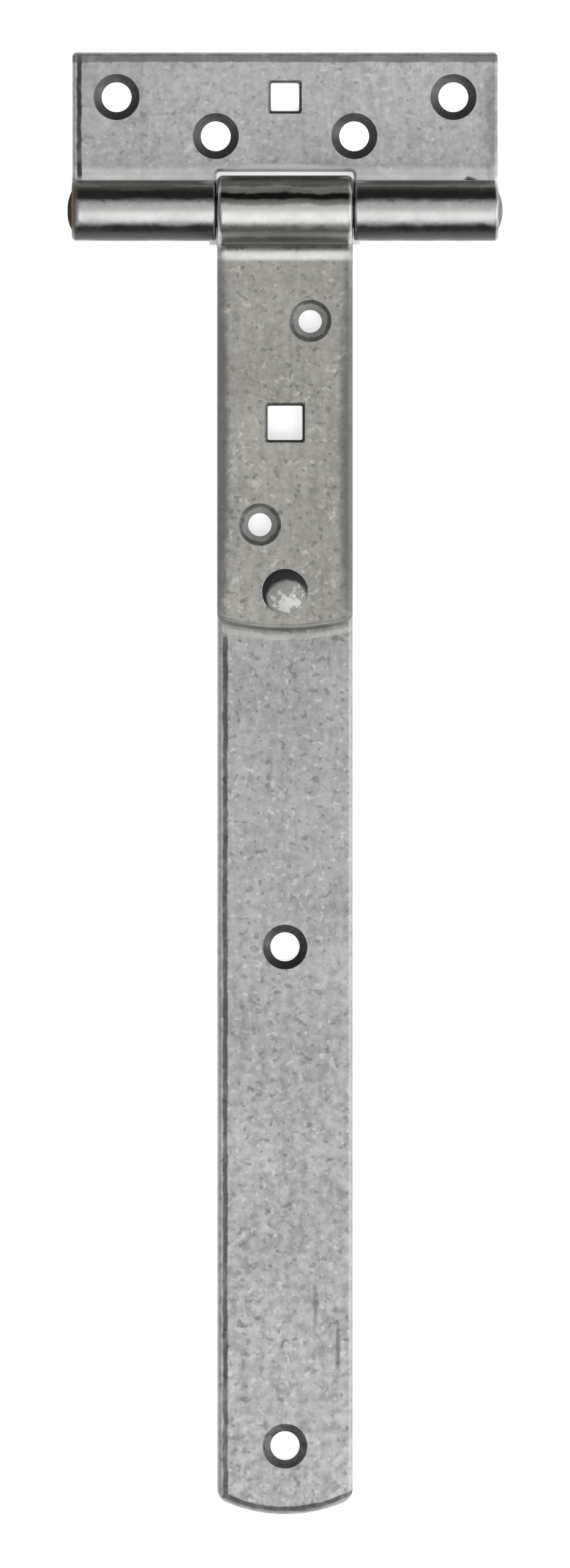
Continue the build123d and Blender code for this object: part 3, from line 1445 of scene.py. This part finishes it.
    def finish(self) -> ZincFinish:
        """Describe zinc that is clean on the plate, with painted highlights and shade along the
        knuckles and in places, and rusty at one end.

        Returns:
            The leaf's finish.
        """
        left = StraightEdge((-1.0, 0.0, 0.0), self.length / 2 / MM)
        top = StraightEdge((0.0, 1.0, 0.0), self.rise / MM)
        return ZincFinish(
            name="leaf_zinc",
            dark=(0.15, 0.15, 0.15),
            light=(0.42, 0.42, 0.42),
            flecks=0.9,
            specks=0.22,
            # Only a little painted shade in the corners
            corner_shade_cover=0.3,
            pin_height=self.axle.height / MM,
            # Painted highlights and dark reflections along the knuckles
            stripes=(
                PaintedRollStripe(-27.0, 10.0, soft=7.0, colour=(0.26, 0.26, 0.255), strength=0.8),
                PaintedRollStripe(18.0, 80.0, soft=5.0, colour=(0.1, 0.098, 0.09), strength=0.8),
                PaintedRollStripe(-80.0, -31.0, soft=5.0, colour=(0.036, 0.036, 0.037), strength=0.9),
                PaintedRollStripe(21.0, 50.0, soft=3.5, colour=(0.03, 0.029, 0.027), strength=0.85),
            ),
            bands=(
                # Painted highlight on the plate along the tops of the knuckles
                Band(6.2, 9.9, soft=1.0, least_height=1.5, colour=(0.6, 0.6, 0.59), strength=0.5),
                Band(5.8, 8.3, soft=0.5, least_height=1.5, colour=(0.75, 0.75, 0.74), strength=0.5),
            ),
            rims=(
                # Painted shade along the left and top edges, which face away from the light
                RimLine((left,), (7.5, 36.0), least_height=1.5, start=1.05, end=2.15),
                RimLine(
                    (top,), (20.0, 60.0), least_height=1.5, start=0.6, end=2.3,
                    colour=(0.06, 0.06, 0.06), strength=0.7,
                ),
            ),
            stains_and_painted_light=(
                # Rust at the left end
                StainOrPaintedLight(
                    (-49.4, 1.2, 9.0), (2.5, 9.5, 30.0), colour=(0.055, 0.034, 0.017),
                    strength=0.94, ragged=0.5, core=0.5,
                ),
                # A dark spot at the foot on the right, and a pale one beside it
                StainOrPaintedLight(
                    (43.0, 6.8, 4.0), (2.2, 1.5, 3.2), colour=(0.012, 0.012, 0.011), strength=0.9
                ),
                StainOrPaintedLight((47.6, 8.8, 3.0), (1.6, 2.2, 2.0), colour=(0.5, 0.5, 0.5), strength=0.6),
                # Brown darkening high on the left knuckle
                StainOrPaintedLight(
                    (-34.0, 5.4, 12.0), (14.0, 1.6, 4.0), colour=(0.05, 0.046, 0.03), strength=0.6
                ),
                # Dirt along the right edge
                StainOrPaintedLight(
                    (47.6, 22.0, 2.0), (2.4, 17.0, 4.0), colour=(0.18, 0.18, 0.18), strength=0.45,
                    ragged=1.6, core=0.3, grit=2.0,
                ),
                # Painted light on the notch's edge, which lies in the middle knuckle's shade
                StainOrPaintedLight(
                    (0.0, 9.8, 2.2), (19.0, 1.6, 3.0), colour=(0.66, 0.66, 0.65), strength=0.8,
                    ragged=0.4, core=0.6,
                ),
                # Painted shade, near black, in the slits beside the middle knuckle
                *(
                    StainOrPaintedLight(
                        (side * 15.9, 4.2, 3.5), (0.9, 3.4, 7.0), colour=(0.008, 0.008, 0.008),
                        strength=0.95, ragged=0.3, core=0.75,
                    )
                    for side in (-1, 1)
                ),
            ),
        )


@dataclass
class Strap(Piece):
    """The long bar, looped round the pin and brought down again in front as a short second layer.

    Attributes:
        width: The bar's width.
        reach: The pin's axis to the middle of the tip.
        loop_radius: Outer radius of the loop.
        near_screws: The screw holes through both layers.
        far_screws: The screw holes through the single layer.
        bolt: The square hole.
        rivet: The rivet's hole.
        thickness: The bar's thickness.
        layer_gap: Between the two layers.
        layer_past_rivet: The rivet's axis to the middle of the short layer's end.
        return_radius: Centre line radius of the bend below the loop.
        tip_bow: How far the tip's middle stands past its corners.
        layer_bow: The same at the end of the short layer.
        corner_radius: Radius of the corners in plan.
        edge_roll: Radius of the bar's edges.
        near_sink: Radius of the near screw holes' sinks.
        far_sink: Radius of the far screw holes' sinks.
        bolt_edge: Radius that rounds the square hole's front edge.
        rivet_tail: Radius of the rivet hole's sink at the back.
        columns: How many strips make the bar's width.
    """

    width: float
    reach: float
    loop_radius: float
    near_screws: tuple[Spot, ...]
    far_screws: tuple[Spot, ...]
    bolt: Spot
    rivet: Spot
    thickness: float = 4.0 * MM
    layer_gap: float = 0.15 * MM
    layer_past_rivet: float = 8.9 * MM
    return_radius: float = 4.0 * MM
    tip_bow: float = 3.7 * MM
    layer_bow: float = 2.1 * MM
    corner_radius: float = 2.0 * MM
    edge_roll: float = 1.3 * MM
    near_sink: float = 4.85 * MM
    far_sink: float = 5.1 * MM
    bolt_edge: float = 0.8 * MM
    rivet_tail: float = 4.55 * MM
    columns: int = 11

    NAME = "strap_bar"
    NODE = "strap"
    BODY = "strap"
    SLOT = "zinc_bar"
    CORNER_ANGLE: ClassVar[float] = math.radians(50)
    SWEEP_STEPS: ClassVar[int] = 5
    LOOP_STEPS: ClassVar[int] = 72
    BEND_STEPS: ClassVar[int] = 16
    CORNER_STEPS: ClassVar[int] = 5
    EDGE_STEPS: ClassVar[int] = 6
    SINK_MARGIN: ClassVar[float] = 0.5
    # How much dark scale and painted shade lines each kind of hole
    NEAR_SCALE_AND_SHADE: ClassVar[float] = 0.0
    FAR_SCALES_AND_SHADE: ClassVar[tuple[float, float]] = (0.5, 0.85)
    BOLT_SCALE_AND_SHADE: ClassVar[float] = 0.8
    TIP_LINE_SHIFT: ClassVar[float] = 0.5

    @property
    def layer_front(self) -> float:
        """Height of the short layer's front."""
        return 2 * self.thickness + self.layer_gap

    @property
    def layer_middle(self) -> float:
        """Height of the short layer's middle."""
        return self.layer_front - self.thickness / 2

    @property
    def layer_end(self) -> float:
        """Place of the middle of the short layer's end."""
        return self.rivet[1] - self.layer_past_rivet

    @property
    def holes(self) -> tuple[Hole, ...]:
        """The screw holes, then the square hole and the rivet's hole."""
        front = self.layer_front
        near_sink = (front, self.near_sink, self.NEAR_SCALE_AND_SHADE)
        near = [Hole(Punch.SCREW, *spot, *near_sink) for spot in self.near_screws]
        far = [
            Hole(Punch.SCREW, *spot, self.thickness, self.far_sink, scale)
            for spot, scale in zip(self.far_screws, self.FAR_SCALES_AND_SHADE)
        ]
        bolt = Hole(Punch.BOLT, *self.bolt, front, self.bolt_edge, self.BOLT_SCALE_AND_SHADE)
        rivet = Hole(Punch.RIVET, *self.rivet, front, self.rivet_tail, self.BOLT_SCALE_AND_SHADE)
        return (*near, *far, bolt, rivet)

    def build(self) -> bpy.types.Object:
        """Model the bar from its tip, round the pin and down the front, then punch it.

        Returns:
            The strap's object.
        """
        bm = bmesh.new()
        grid = bmesh.ops.create_grid(bm, x_segments=self.columns, y_segments=1, size=0.5)
        corners = grid["verts"]
        bmesh.ops.scale(bm, verts=corners, vec=(self.width, self.thickness, 1.0))
        bmesh.ops.rotate(bm, verts=corners, matrix=Matrix.Rotation(math.pi / 2, 3, ALONG_PIN))
        bmesh.ops.translate(bm, verts=corners, vec=(0.0, -self.reach, self.thickness / 2))
        ends = self._loop_round_pin(bm, list(bm.faces))
        self._bow(corners, self.tip_bow)
        self._bow([corner for face in ends for corner in face.verts], self.layer_bow)
        bmesh.ops.recalc_face_normals(bm, faces=bm.faces)
        corner_edges = [edge for edge in sharp_edges(bm, self.CORNER_ANGLE) if upright(edge)]
        round_edges(bm, corner_edges, self.corner_radius, self.CORNER_STEPS)
        round_edges(bm, sharp_edges(bm, SQUARE_ANGLE), self.edge_roll, self.EDGE_STEPS)
        made = into_object(bm, self.NAME)
        self.punch(made)
        return made

    def _loop_round_pin(
        self, bm: bmesh.types.BMesh, ends: list[bmesh.types.BMFace]
    ) -> list[bmesh.types.BMFace]:
        """Carry the bar's end up to the pin, round it and down the front.

        Args:
            bm: The bar's mesh.
            ends: The faces at the tip.

        Returns:
            The faces at the end of the short layer.
        """
        loop_radius = self.loop_radius - self.thickness / 2
        start, lift = self.axle.sweep(loop_radius, self.thickness)
        ends = push(bm, ends, Vector((0.0, self.reach - start, 0.0)))
        sweep_centre = Vector((0.0, -start, self.thickness / 2 + self.axle.sweep_radius))
        ends = roll(bm, ends, sweep_centre, lift, self.SWEEP_STEPS)
        apart = loop_radius + self.return_radius
        lean = math.asin((self.layer_middle - self.axle.height + self.return_radius) / apart)
        turned = 1.5 * math.pi - lean - lift
        ends = roll(bm, ends, self.axle.centre, turned, self.LOOP_STEPS)
        bend_foot = apart * math.cos(lean)
        bend_centre = Vector((0.0, -bend_foot, self.layer_middle + self.return_radius))
        ends = roll(bm, ends, bend_centre, lean - math.pi / 2, self.BEND_STEPS)
        return push(bm, ends, Vector((0.0, self.layer_end + bend_foot, 0.0)))

    def _bow_radius(self, bow: float) -> float:
        """Give the radius of an arc that bows by so much over the bar's width."""
        return (self.width**2 / 4 + bow**2) / (2 * bow)

    def _bow(self, corners: Iterable[bmesh.types.BMVert], bow: float) -> None:
        """Draw an end's corners back along an arc, so that its middle stands proud.

        Args:
            corners: The end's corners, some of them more than once.
            bow: How far the middle stands past the outermost corners.
        """
        radius = self._bow_radius(bow)
        for corner in dict.fromkeys(corners):
            corner.co.y += radius - math.sqrt(radius**2 - corner.co.x**2)

    def _pale_near_sinks(self) -> list[StainOrPaintedLight]:
        """Describe pale, dull patches in the sinks of the near screws, which make them lighter.

        Returns:
            One pale patch for each sink.
        """
        depth = (self.near_sink - self.near_screws[0][2]) / MM
        width = self.near_sink / MM + self.SINK_MARGIN
        floor = self.layer_front / MM - depth
        return [
            StainOrPaintedLight(
                (x / MM, y / MM, floor), (width, width, depth), colour=(0.3, 0.295, 0.28),
                strength=0.6, ragged=0.6, core=0.85, grit=2.0,
            )
            for x, y, _ in self.near_screws
        ]

    def finish(self) -> ZincFinish:
        """Describe zinc that is warm on the short layer, and cold, flecked and painted lighter
        towards the tip.

        Returns:
            The strap's finish.
        """
        half = self.width / 2 / MM
        left = StraightEdge((-1.0, 0.0, 0.0), half)
        tip = BowedEdge(self.reach / MM + self.TIP_LINE_SHIFT, self._bow_radius(self.tip_bow) / MM)
        layer_end = BowedEdge(-self.layer_end / MM, self._bow_radius(self.layer_bow) / MM)
        return ZincFinish(
            name="strap_zinc",
            dark=(0.14, 0.14, 0.139),
            light=(0.415, 0.415, 0.413),
            flecks=0.85,
            tip_light_and_flecks=0.9,
            pin_height=self.axle.height / MM,
            # Painted highlights and dark reflections along the loop
            stripes=(
                PaintedRollStripe(-27.0, 10.0, soft=7.0, colour=(0.3, 0.3, 0.295), strength=0.8),
                PaintedRollStripe(-80.0, -31.0, soft=5.0, colour=(0.22, 0.217, 0.203), strength=0.85),
                PaintedRollStripe(-50.0, -39.0, soft=3.0, colour=(0.42, 0.415, 0.39), strength=0.7),
                PaintedRollStripe(8.0, 19.0, soft=3.0, colour=(0.1, 0.098, 0.092), strength=0.75),
                PaintedRollStripe(28.0, 42.0, soft=4.0, colour=(0.4, 0.395, 0.37), strength=0.7),
                PaintedRollStripe(42.0, 88.0, soft=4.0, colour=(0.06, 0.059, 0.055), strength=0.85),
                PaintedRollStripe(17.5, 28.5, soft=2.5, colour=(0.004, 0.004, 0.004), strength=0.95),
            ),
            bands=(
                Band(
                    -97.5, 60.0, soft=3.5, least_height=3.9, colour=(0.9, 0.883, 0.815),
                    strength=1.0, blend=Blend.TINT,
                ),
                # Painted highlight along the bend below the loop
                Band(
                    -11.3, -9.6, soft=0.6, least_height=6.0, colour=(0.56, 0.56, 0.545),
                    strength=0.8,
                ),
            ),
            rims=(
                # A dark line along the left edge and round the tip; along the left edge it is
                # painted shade
                RimLine(
                    (left, tip), (-310.0, -97.5), least_height=2.0, start=1.3, end=2.4,
                    strength=0.78,
                ),
                # Painted shade at the short layer's end
                RimLine(
                    (layer_end,), (-98.0, -90.0), least_height=6.0, start=0.1, end=1.4,
                    colour=(0.05, 0.05, 0.047), strength=0.42,
                ),
                # Painted highlight on the bar just past the short layer's end
                RimLine(
                    (layer_end,), (-100.0, -92.0), least_height=2.0, start=-2.1, end=-0.9,
                    colour=(0.62, 0.62, 0.61), strength=0.17,
                ),
            ),
            stains_and_painted_light=(
                # A reddish patch on the short layer
                StainOrPaintedLight(
                    (-10.0, -38.0, 8.2), (5.0, 11.0, 2.0), colour=(0.3, 0.225, 0.2), strength=0.25,
                    ragged=0.9, core=0.0,
                ),
                # Painted shade along the short layer's sides, darker on the left
                StainOrPaintedLight(
                    (-half, -54.0, 8.0), (3.5, 62.0, 5.0), colour=(0.055, 0.055, 0.052),
                    strength=0.7, ragged=0.4,
                ),
                StainOrPaintedLight(
                    (half, -54.0, 8.0), (3.8, 62.0, 5.0), colour=(0.09, 0.09, 0.086), strength=0.68,
                    ragged=0.4,
                ),
                *self._pale_near_sinks(),
                # Painted shade, near black, in the slits beside the leaf's knuckles
                *(
                    StainOrPaintedLight(
                        (side * half, 4.6, 6.0), (1.0, 3.4, 9.0), colour=(0.008, 0.008, 0.008),
                        strength=0.95, ragged=0.3, core=0.7,
                    )
                    for side in (-1, 1)
                ),
                # Two scratches low on the bar
                StainOrPaintedLight(
                    (7.0, -251.0, 4.0), (0.9, 8.0, 2.0), colour=(0.13, 0.13, 0.13), strength=0.45,
                    ragged=0.9, core=0.2, grit=2.0,
                ),
                StainOrPaintedLight(
                    (12.2, -261.0, 4.0), (0.8, 9.0, 2.0), colour=(0.1, 0.1, 0.1), strength=0.5,
                    ragged=0.9, core=0.2, grit=2.0,
                ),
            ),
        )


@dataclass(frozen=True)
class HammerMarks:
    """Shallow dents that a hammer leaves on a peened head.

    Attributes:
        count: How many dents.
        radius: Radius of a dent.
        depth: Depth of a dent.
        seed: Start of the random draws.
    """

    count: int
    radius: float
    depth: float
    seed: int

    FAINTEST: ClassVar[float] = 0.5

    def strike(self, bm: bmesh.types.BMesh, crown: Vector, facing: Vector, rim: float) -> None:
        """Dent the corners near a crown.

        Args:
            bm: The mesh to dent.
            crown: The crown's top.
            facing: The way that the crown faces, of length one.
            rim: Radius of the struck ground.
        """
        draw = random.Random(self.seed)
        across = facing.orthogonal().normalized()
        along = facing.cross(across)
        dents = []
        for _ in range(self.count):
            out, bearing = rim * math.sqrt(draw.random()), math.tau * draw.random()
            middle = crown + across * (out * math.cos(bearing)) + along * (out * math.sin(bearing))
            dents.append((middle, self.depth * draw.uniform(self.FAINTEST, 1.0)))
        for corner in bm.verts:
            offset = corner.co - crown
            beside = offset - facing * offset.dot(facing)
            if offset.dot(facing) < -rim or beside.length > rim:
                continue
            sunk = 0.0
            for middle, depth in dents:
                near = (crown + beside - middle).length / self.radius
                sunk = max(sunk, depth * max(0.0, 1 - near**2))
            corner.co -= facing * sunk


@dataclass
class Pin(Piece):
    """The round bar through the knuckles, peened to a low dome at each end.

    Attributes:
        half_length: Half its length between the domes' rims.
        half_reach: Half its length over all.
        peen_radius: Radius of the domes.
        radius: Radius of the bar.
    """

    half_length: float
    half_reach: float
    peen_radius: float
    radius: float = 4.0 * MM

    NAME = "hinge_pin"
    NODE = "pin"
    BODY = "leaf"
    SLOT = "pin_steel"
    DOME_STEPS: ClassVar[int] = 10
    SIDES: ClassVar[int] = 64
    STRUCK_SHARE: ClassVar[float] = 0.95
    FIRST_SEED: ClassVar[int] = 40

    def build(self) -> bpy.types.Object:
        """Turn the bar and strike its ends.

        Returns:
            The pin's object.
        """
        bm = bmesh.new()
        height = self.half_reach - self.half_length
        dome = cap_outline(self.peen_radius, height, self.half_length, self.DOME_STEPS)
        right = [(self.radius, self.half_length), *dome]
        left = [(out, -reach) for out, reach in reversed(right)]
        turn(bm, [*left, *right], self.axle.centre, ALONG_PIN, self.SIDES)
        for side in (-1, 1):
            crown = self.axle.centre + ALONG_PIN * (side * self.half_reach)
            seed = self.FIRST_SEED + side
            marks = HammerMarks(count=9, radius=1.5 * MM, depth=0.16 * MM, seed=seed)
            marks.strike(bm, crown, ALONG_PIN * side, self.peen_radius * self.STRUCK_SHARE)
        return into_object(bm, self.NAME)

    def finish(self) -> ZincFinish:
        """Describe dark zinc that is rusty at the left end.

        Returns:
            The pin's finish.
        """
        rust = StainOrPaintedLight(
            (-50.5, 0.0, 8.3), (3.4, 14.0, 14.0), colour=(0.03, 0.016, 0.006), strength=0.99,
            ragged=0.4, core=0.6,
        )
        return ZincFinish(
            name="pin_zinc",
            dark=(0.1, 0.099, 0.096),
            light=(0.22, 0.218, 0.21),
            edge_cover=0.0,
            patch_gloss=0.04,
            stains_and_painted_light=(rust,),
        )


@dataclass
class Rivet(Piece):
    """The rivet that clamps the strap's two layers.

    Attributes:
        y: Its place down the strap.
        front: Height of the face that its head lies on.
        crown: Height of its crown.
        head_radius: Radius of its head.
        radius: Radius of its shank.
        tail_radius: Radius of its flush tail.
    """

    y: float
    front: float
    crown: float
    head_radius: float
    radius: float = 3.0 * MM
    tail_radius: float = 4.5 * MM

    NAME = "clamp_rivet"
    NODE = "rivet"
    BODY = "strap"
    SLOT = "rivet_steel"
    DOME_STEPS: ClassVar[int] = 14
    SIDES: ClassVar[int] = 72
    STRUCK_SHARE: ClassVar[float] = 0.8

    def build(self) -> bpy.types.Object:
        """Turn the rivet and strike its head.

        Returns:
            The rivet's object.
        """
        bm = bmesh.new()
        shank = [
            (0.0, 0.0),
            (self.tail_radius, 0.0),
            (self.radius, self.tail_radius - self.radius),
            (self.radius, self.front),
        ]
        height = self.crown - self.front
        dome = cap_outline(self.head_radius, height, self.front, self.DOME_STEPS)
        turn(bm, [*shank, *dome], Vector((0.0, self.y, 0.0)), OUT_OF_FRONT, self.SIDES)
        marks = HammerMarks(count=11, radius=1.5 * MM, depth=0.14 * MM, seed=5)
        crown = Vector((0.0, self.y, self.crown))
        marks.strike(bm, crown, OUT_OF_FRONT, self.head_radius * self.STRUCK_SHARE)
        return into_object(bm, self.NAME)

    def finish(self) -> ZincFinish:
        """Describe zinc with painted near-black shade over the head's upper rim, and a painted lit
        side with bright flecks below.

        Returns:
            The rivet's finish.
        """
        y = self.y / MM
        return ZincFinish(
            name="rivet_zinc",
            dark=(0.13, 0.13, 0.127),
            light=(0.3, 0.3, 0.295),
            flecks=1.2,
            edge_cover=0.0,
            stains_and_painted_light=(
                # Painted shade, near black, over the whole head
                StainOrPaintedLight(
                    (-0.4, y + 0.6, 9.0), (6.0, 6.0, 5.0), colour=(0.004, 0.004, 0.004),
                    strength=0.96, ragged=0.1, core=0.9,
                ),
                # Painted light on the head's lower side, with bright painted flecks
                StainOrPaintedLight(
                    (0.6, y - 2.1, 9.6), (5.3, 5.2, 5.0), colour=(0.24, 0.24, 0.23), strength=0.95,
                    ragged=0.4, core=0.8,
                ),
                StainOrPaintedLight(
                    (0.9, y - 2.4, 9.6), (3.9, 3.0, 5.0), colour=(0.6, 0.6, 0.58), strength=0.7,
                    ragged=3.2, core=0.3, grit=1.4,
                ),
            ),
        )


@dataclass(frozen=True)
class Lamp:
    """A soft light panel.

    Attributes:
        name: Its name.
        lean: Its angle from straight overhead, in degrees.
        bearing: The way that it leans, in degrees from +X towards +Y.
        distance: Its distance from the hinge, in metres.
        size: Its width and height, in metres.
        watts: Its power.
    """

    name: str
    lean: float
    bearing: float
    distance: float
    size: tuple[float, float]
    watts: float

    def hang(self, target: Vector) -> None:
        """Hang the panel so that it faces the hinge.

        Args:
            target: The point that it faces.
        """
        light = bpy.data.lights.new(self.name, "AREA")
        light.shape = "RECTANGLE"
        light.size, light.size_y = self.size
        light.energy = self.watts
        away = Matrix.Rotation(math.radians(self.lean), 3, "Y") @ OUT_OF_FRONT
        away.rotate(Matrix.Rotation(math.radians(self.bearing), 3, "Z"))
        facing = away.to_track_quat("Z", "Y").to_matrix().to_4x4()
        panel = bpy.data.objects.new(self.name, light)
        panel.matrix_world = Matrix.Translation(target + away * self.distance) @ facing
        bpy.context.scene.collection.objects.link(panel)


@dataclass
class Studio:
    """The pale floor, the soft light and the camera.

    Attributes:
        lamps: The light panels.
        view_middle: The point in the middle of the picture.
        view_height: Height of the ground that the picture shows.
        lens: The camera's focal length in millimetres.
        film: Length of the film's long side in millimetres.
        floor_half: Half the floor's width.
        floor_drop: The floor below the hinge's back.
        floor_colours: The floor's darker and lighter colour.
        table_glow: Light that comes up through the floor, as on a light table.
        slit_x: How far the slits beside the middle knuckle stand from the middle.
        slit_half: Half sizes of the ground behind each slit, where no light comes up.
        air: Brightness of the air around.
    """

    lamps: tuple[Lamp, ...]
    view_middle: Vector
    view_height: float = 0.3609
    lens: float = 350.0
    film: float = 36.0
    floor_half: float = 14.0
    floor_drop: float = 0.05 * MM
    floor_colours: tuple[Colour, Colour] = ((0.93, 0.93, 0.927), (0.95, 0.95, 0.948))
    table_glow: float = 0.5
    slit_x: float = 15.8 * MM
    slit_half: tuple[float, float] = (1.6 * MM, 7.6 * MM)
    air: float = 0.25

    SLIT_SOFT: ClassVar[float] = 0.3

    def set_up(self) -> None:
        """Lay the floor, hang the lamps and place the camera."""
        scene = bpy.context.scene
        scene.view_settings.view_transform = "Standard"
        world = bpy.data.worlds.new("studio_air")
        world.use_nodes = True
        background = world.node_tree.nodes["Background"]
        background.inputs["Color"].default_value = (self.air, self.air, self.air, 1.0)
        scene.world = world
        self._lay_floor()
        for lamp in self.lamps:
            lamp.hang(self.view_middle)
        camera = bpy.data.cameras.new("front_camera")
        camera.lens = self.lens
        camera.sensor_width = self.film
        stand = bpy.data.objects.new("front_camera", camera)
        distance = self.view_height * self.lens / self.film
        stand.location = self.view_middle + OUT_OF_FRONT * distance
        scene.collection.objects.link(stand)
        scene.camera = stand

    def _lay_floor(self) -> None:
        """Lay a wide, pale, faintly uneven floor under the hinge, lit from below."""
        bm = bmesh.new()
        bmesh.ops.create_grid(bm, x_segments=2, y_segments=2, size=self.floor_half)
        bmesh.ops.translate(bm, verts=bm.verts, vec=(0.0, 0.0, cad_box[0].z - self.floor_drop))
        floor = into_object(bm, "floor")
        sheet = NodeSheet("pale_floor")
        shader = sheet.surface()
        shade = sheet.span(sheet.noise(60.0, detail=3.0), 0.3, 0.7)
        sheet.feed(shader.inputs["Base Color"], sheet.mix(shade, *self.floor_colours))
        shader.inputs["Roughness"].default_value = 0.9
        shader.inputs["Specular IOR Level"].default_value = 0.1
        shader.inputs["Emission Color"].default_value = (1.0, 1.0, 1.0, 1.0)
        across, along = (half / MM for half in self.slit_half)
        from_middle = sheet.math("ABSOLUTE", sheet.axis(0))
        from_slit = sheet.math("SUBTRACT", from_middle, self.slit_x / MM)
        beside = sheet.within(from_slit, -across, across, self.SLIT_SOFT)
        level = sheet.within(sheet.axis(1), -along, along, self.SLIT_SOFT)
        shaded = sheet.math("MULTIPLY", beside, level)
        glow = sheet.math("MULTIPLY", sheet.math("SUBTRACT", 1.0, shaded), self.table_glow)
        sheet.feed(shader.inputs["Emission Strength"], glow)
        floor.data.materials.append(sheet.material)


@dataclass
class TeeHinge:
    """The whole hinge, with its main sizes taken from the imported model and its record.

    Attributes:
        side_gap: Between the strap's loop and each knuckle of the leaf.
        notch_gap: How much farther the notch's edge lies from the pin's axis than the backs do.
        leaf_square: Half the side of the leaf's square hole.
        strap_square: Half the side of the strap's square hole.
        near_stagger: How far the near screws stand to the sides of the strap's middle line.
        rivet_bore: Radius of the rivet's hole.
    """

    side_gap: float = 0.2 * MM
    notch_gap: float = 0.95 * MM
    leaf_square: float = 3.25 * MM
    strap_square: float = 4.0 * MM
    near_stagger: float = 5.8 * MM
    rivet_bore: float = 3.05 * MM

    def __post_init__(self) -> None:
        """Read the record's mounts, and the pin's height from the joint."""
        self.mounts = {mount["name"]: mount for mount in frame["record"]["mounts"]}
        self.axle = Axle(frame["joints"][0]["pos_m"][2])

    def pieces(self) -> tuple[Piece, ...]:
        """Size the four pieces, in the order that a maker puts them together."""
        return self.leaf(), self.pin(), self.strap(), self.rivet()

    def leaf(self) -> Leaf:
        """Size the leaf.

        Returns:
            The leaf, ready to build.
        """
        low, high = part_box("leaf")
        strap_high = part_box("strap")[1]
        return Leaf(
            axle=self.axle,
            length=high.x - low.x,
            rise=high.y,
            knuckle_radius=-low.y,
            notch_half=strap_high.x + self.side_gap,
            notch_top=self.axle.height + self.notch_gap,
            screws=(*self._row("leaf_screws_outer"), *self._row("leaf_screws_inner")),
            bolt=self._square("leaf_square_hole", self.leaf_square),
        )

    def strap(self) -> Strap:
        """Size the strap.

        Returns:
            The strap, ready to build.
        """
        low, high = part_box("strap")
        return Strap(
            axle=self.axle,
            width=high.x - low.x,
            reach=-low.y,
            loop_radius=high.y,
            near_screws=self._staggered("strap_screws_near"),
            far_screws=self._row("strap_screws_far"),
            bolt=self._square("strap_square_hole", self.strap_square),
            rivet=(0.0, self._rivet_y(), self.rivet_bore),
        )

    def pin(self) -> Pin:
        """Size the pin.

        Returns:
            The pin, ready to build.
        """
        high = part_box("pin")[1]
        return Pin(
            axle=self.axle,
            half_length=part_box("leaf")[1].x,
            half_reach=high.x,
            peen_radius=high.y,
        )

    def rivet(self) -> Rivet:
        """Size the rivet.

        Returns:
            The rivet, ready to build.
        """
        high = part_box("rivet")[1]
        return Rivet(
            axle=self.axle,
            y=self._rivet_y(),
            front=self.strap().layer_front,
            crown=high.z,
            head_radius=high.x,
        )

    def _rivet_y(self) -> float:
        """Give the rivet's place down the strap."""
        low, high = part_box("rivet")
        return (low.y + high.y) / 2

    def _row(self, mount: str) -> tuple[Spot, Spot]:
        """Give a mount's two screws, which stand in a row across or along the strap.

        Args:
            mount: The mount's name.

        Returns:
            The two places, with the bore's radius.
        """
        x, y, _ = self.mounts[mount]["pos_m"]
        dims = self.mounts[mount]["dims"]
        across = dims.get("spacing_x_mm", 0.0) * MM / 2
        along = dims.get("spacing_y_mm", 0.0) * MM / 2
        bore = dims["hole_r_mm"] * MM
        return (x - across, y - along, bore), (x + across, y + along, bore)

    def _staggered(self, mount: str) -> tuple[Spot, Spot]:
        """Give a mount's two screws, which stand on a slant over the strap's middle line.

        Args:
            mount: The mount's name.

        Returns:
            The two places, with the bore's radius.
        """
        x, y, _ = self.mounts[mount]["pos_m"]
        dims = self.mounts[mount]["dims"]
        across = self.near_stagger
        along = math.sqrt((dims["pcd_mm"] * MM / 2) ** 2 - across**2)
        bore = dims["hole_r_mm"] * MM
        return (x + across, y + along, bore), (x - across, y - along, bore)

    def _square(self, mount: str, half: float) -> Spot:
        """Give a mount's square hole, with half its side."""
        x, y, _ = self.mounts[mount]["pos_m"]
        return x, y, half


def main() -> None:
    """Build the hinge's pieces, dress them and set up the studio."""
    logging.basicConfig(level=logging.INFO, format="%(message)s")
    for piece in TeeHinge().pieces():
        made = piece.build()
        piece.dress(made)
        log.info("%s: %d faces on %s", made.name, len(made.data.polygons), piece.BODY)
    studio = Studio(
        lamps=(
            Lamp("sky_panel", lean=7.0, bearing=-80.0, distance=5.0, size=(7.6, 7.6), watts=240.0),
            Lamp("key_panel", lean=24.0, bearing=-76.0, distance=5.0, size=(3.6, 3.6), watts=74.0),
            Lamp("side_panel", lean=62.0, bearing=-8.0, distance=5.0, size=(4.0, 4.0), watts=110.0),
        ),
        view_middle=Vector((0.0, -0.1318, 0.004)),
    )
    studio.set_up()


if __name__ == "__main__":
    main()
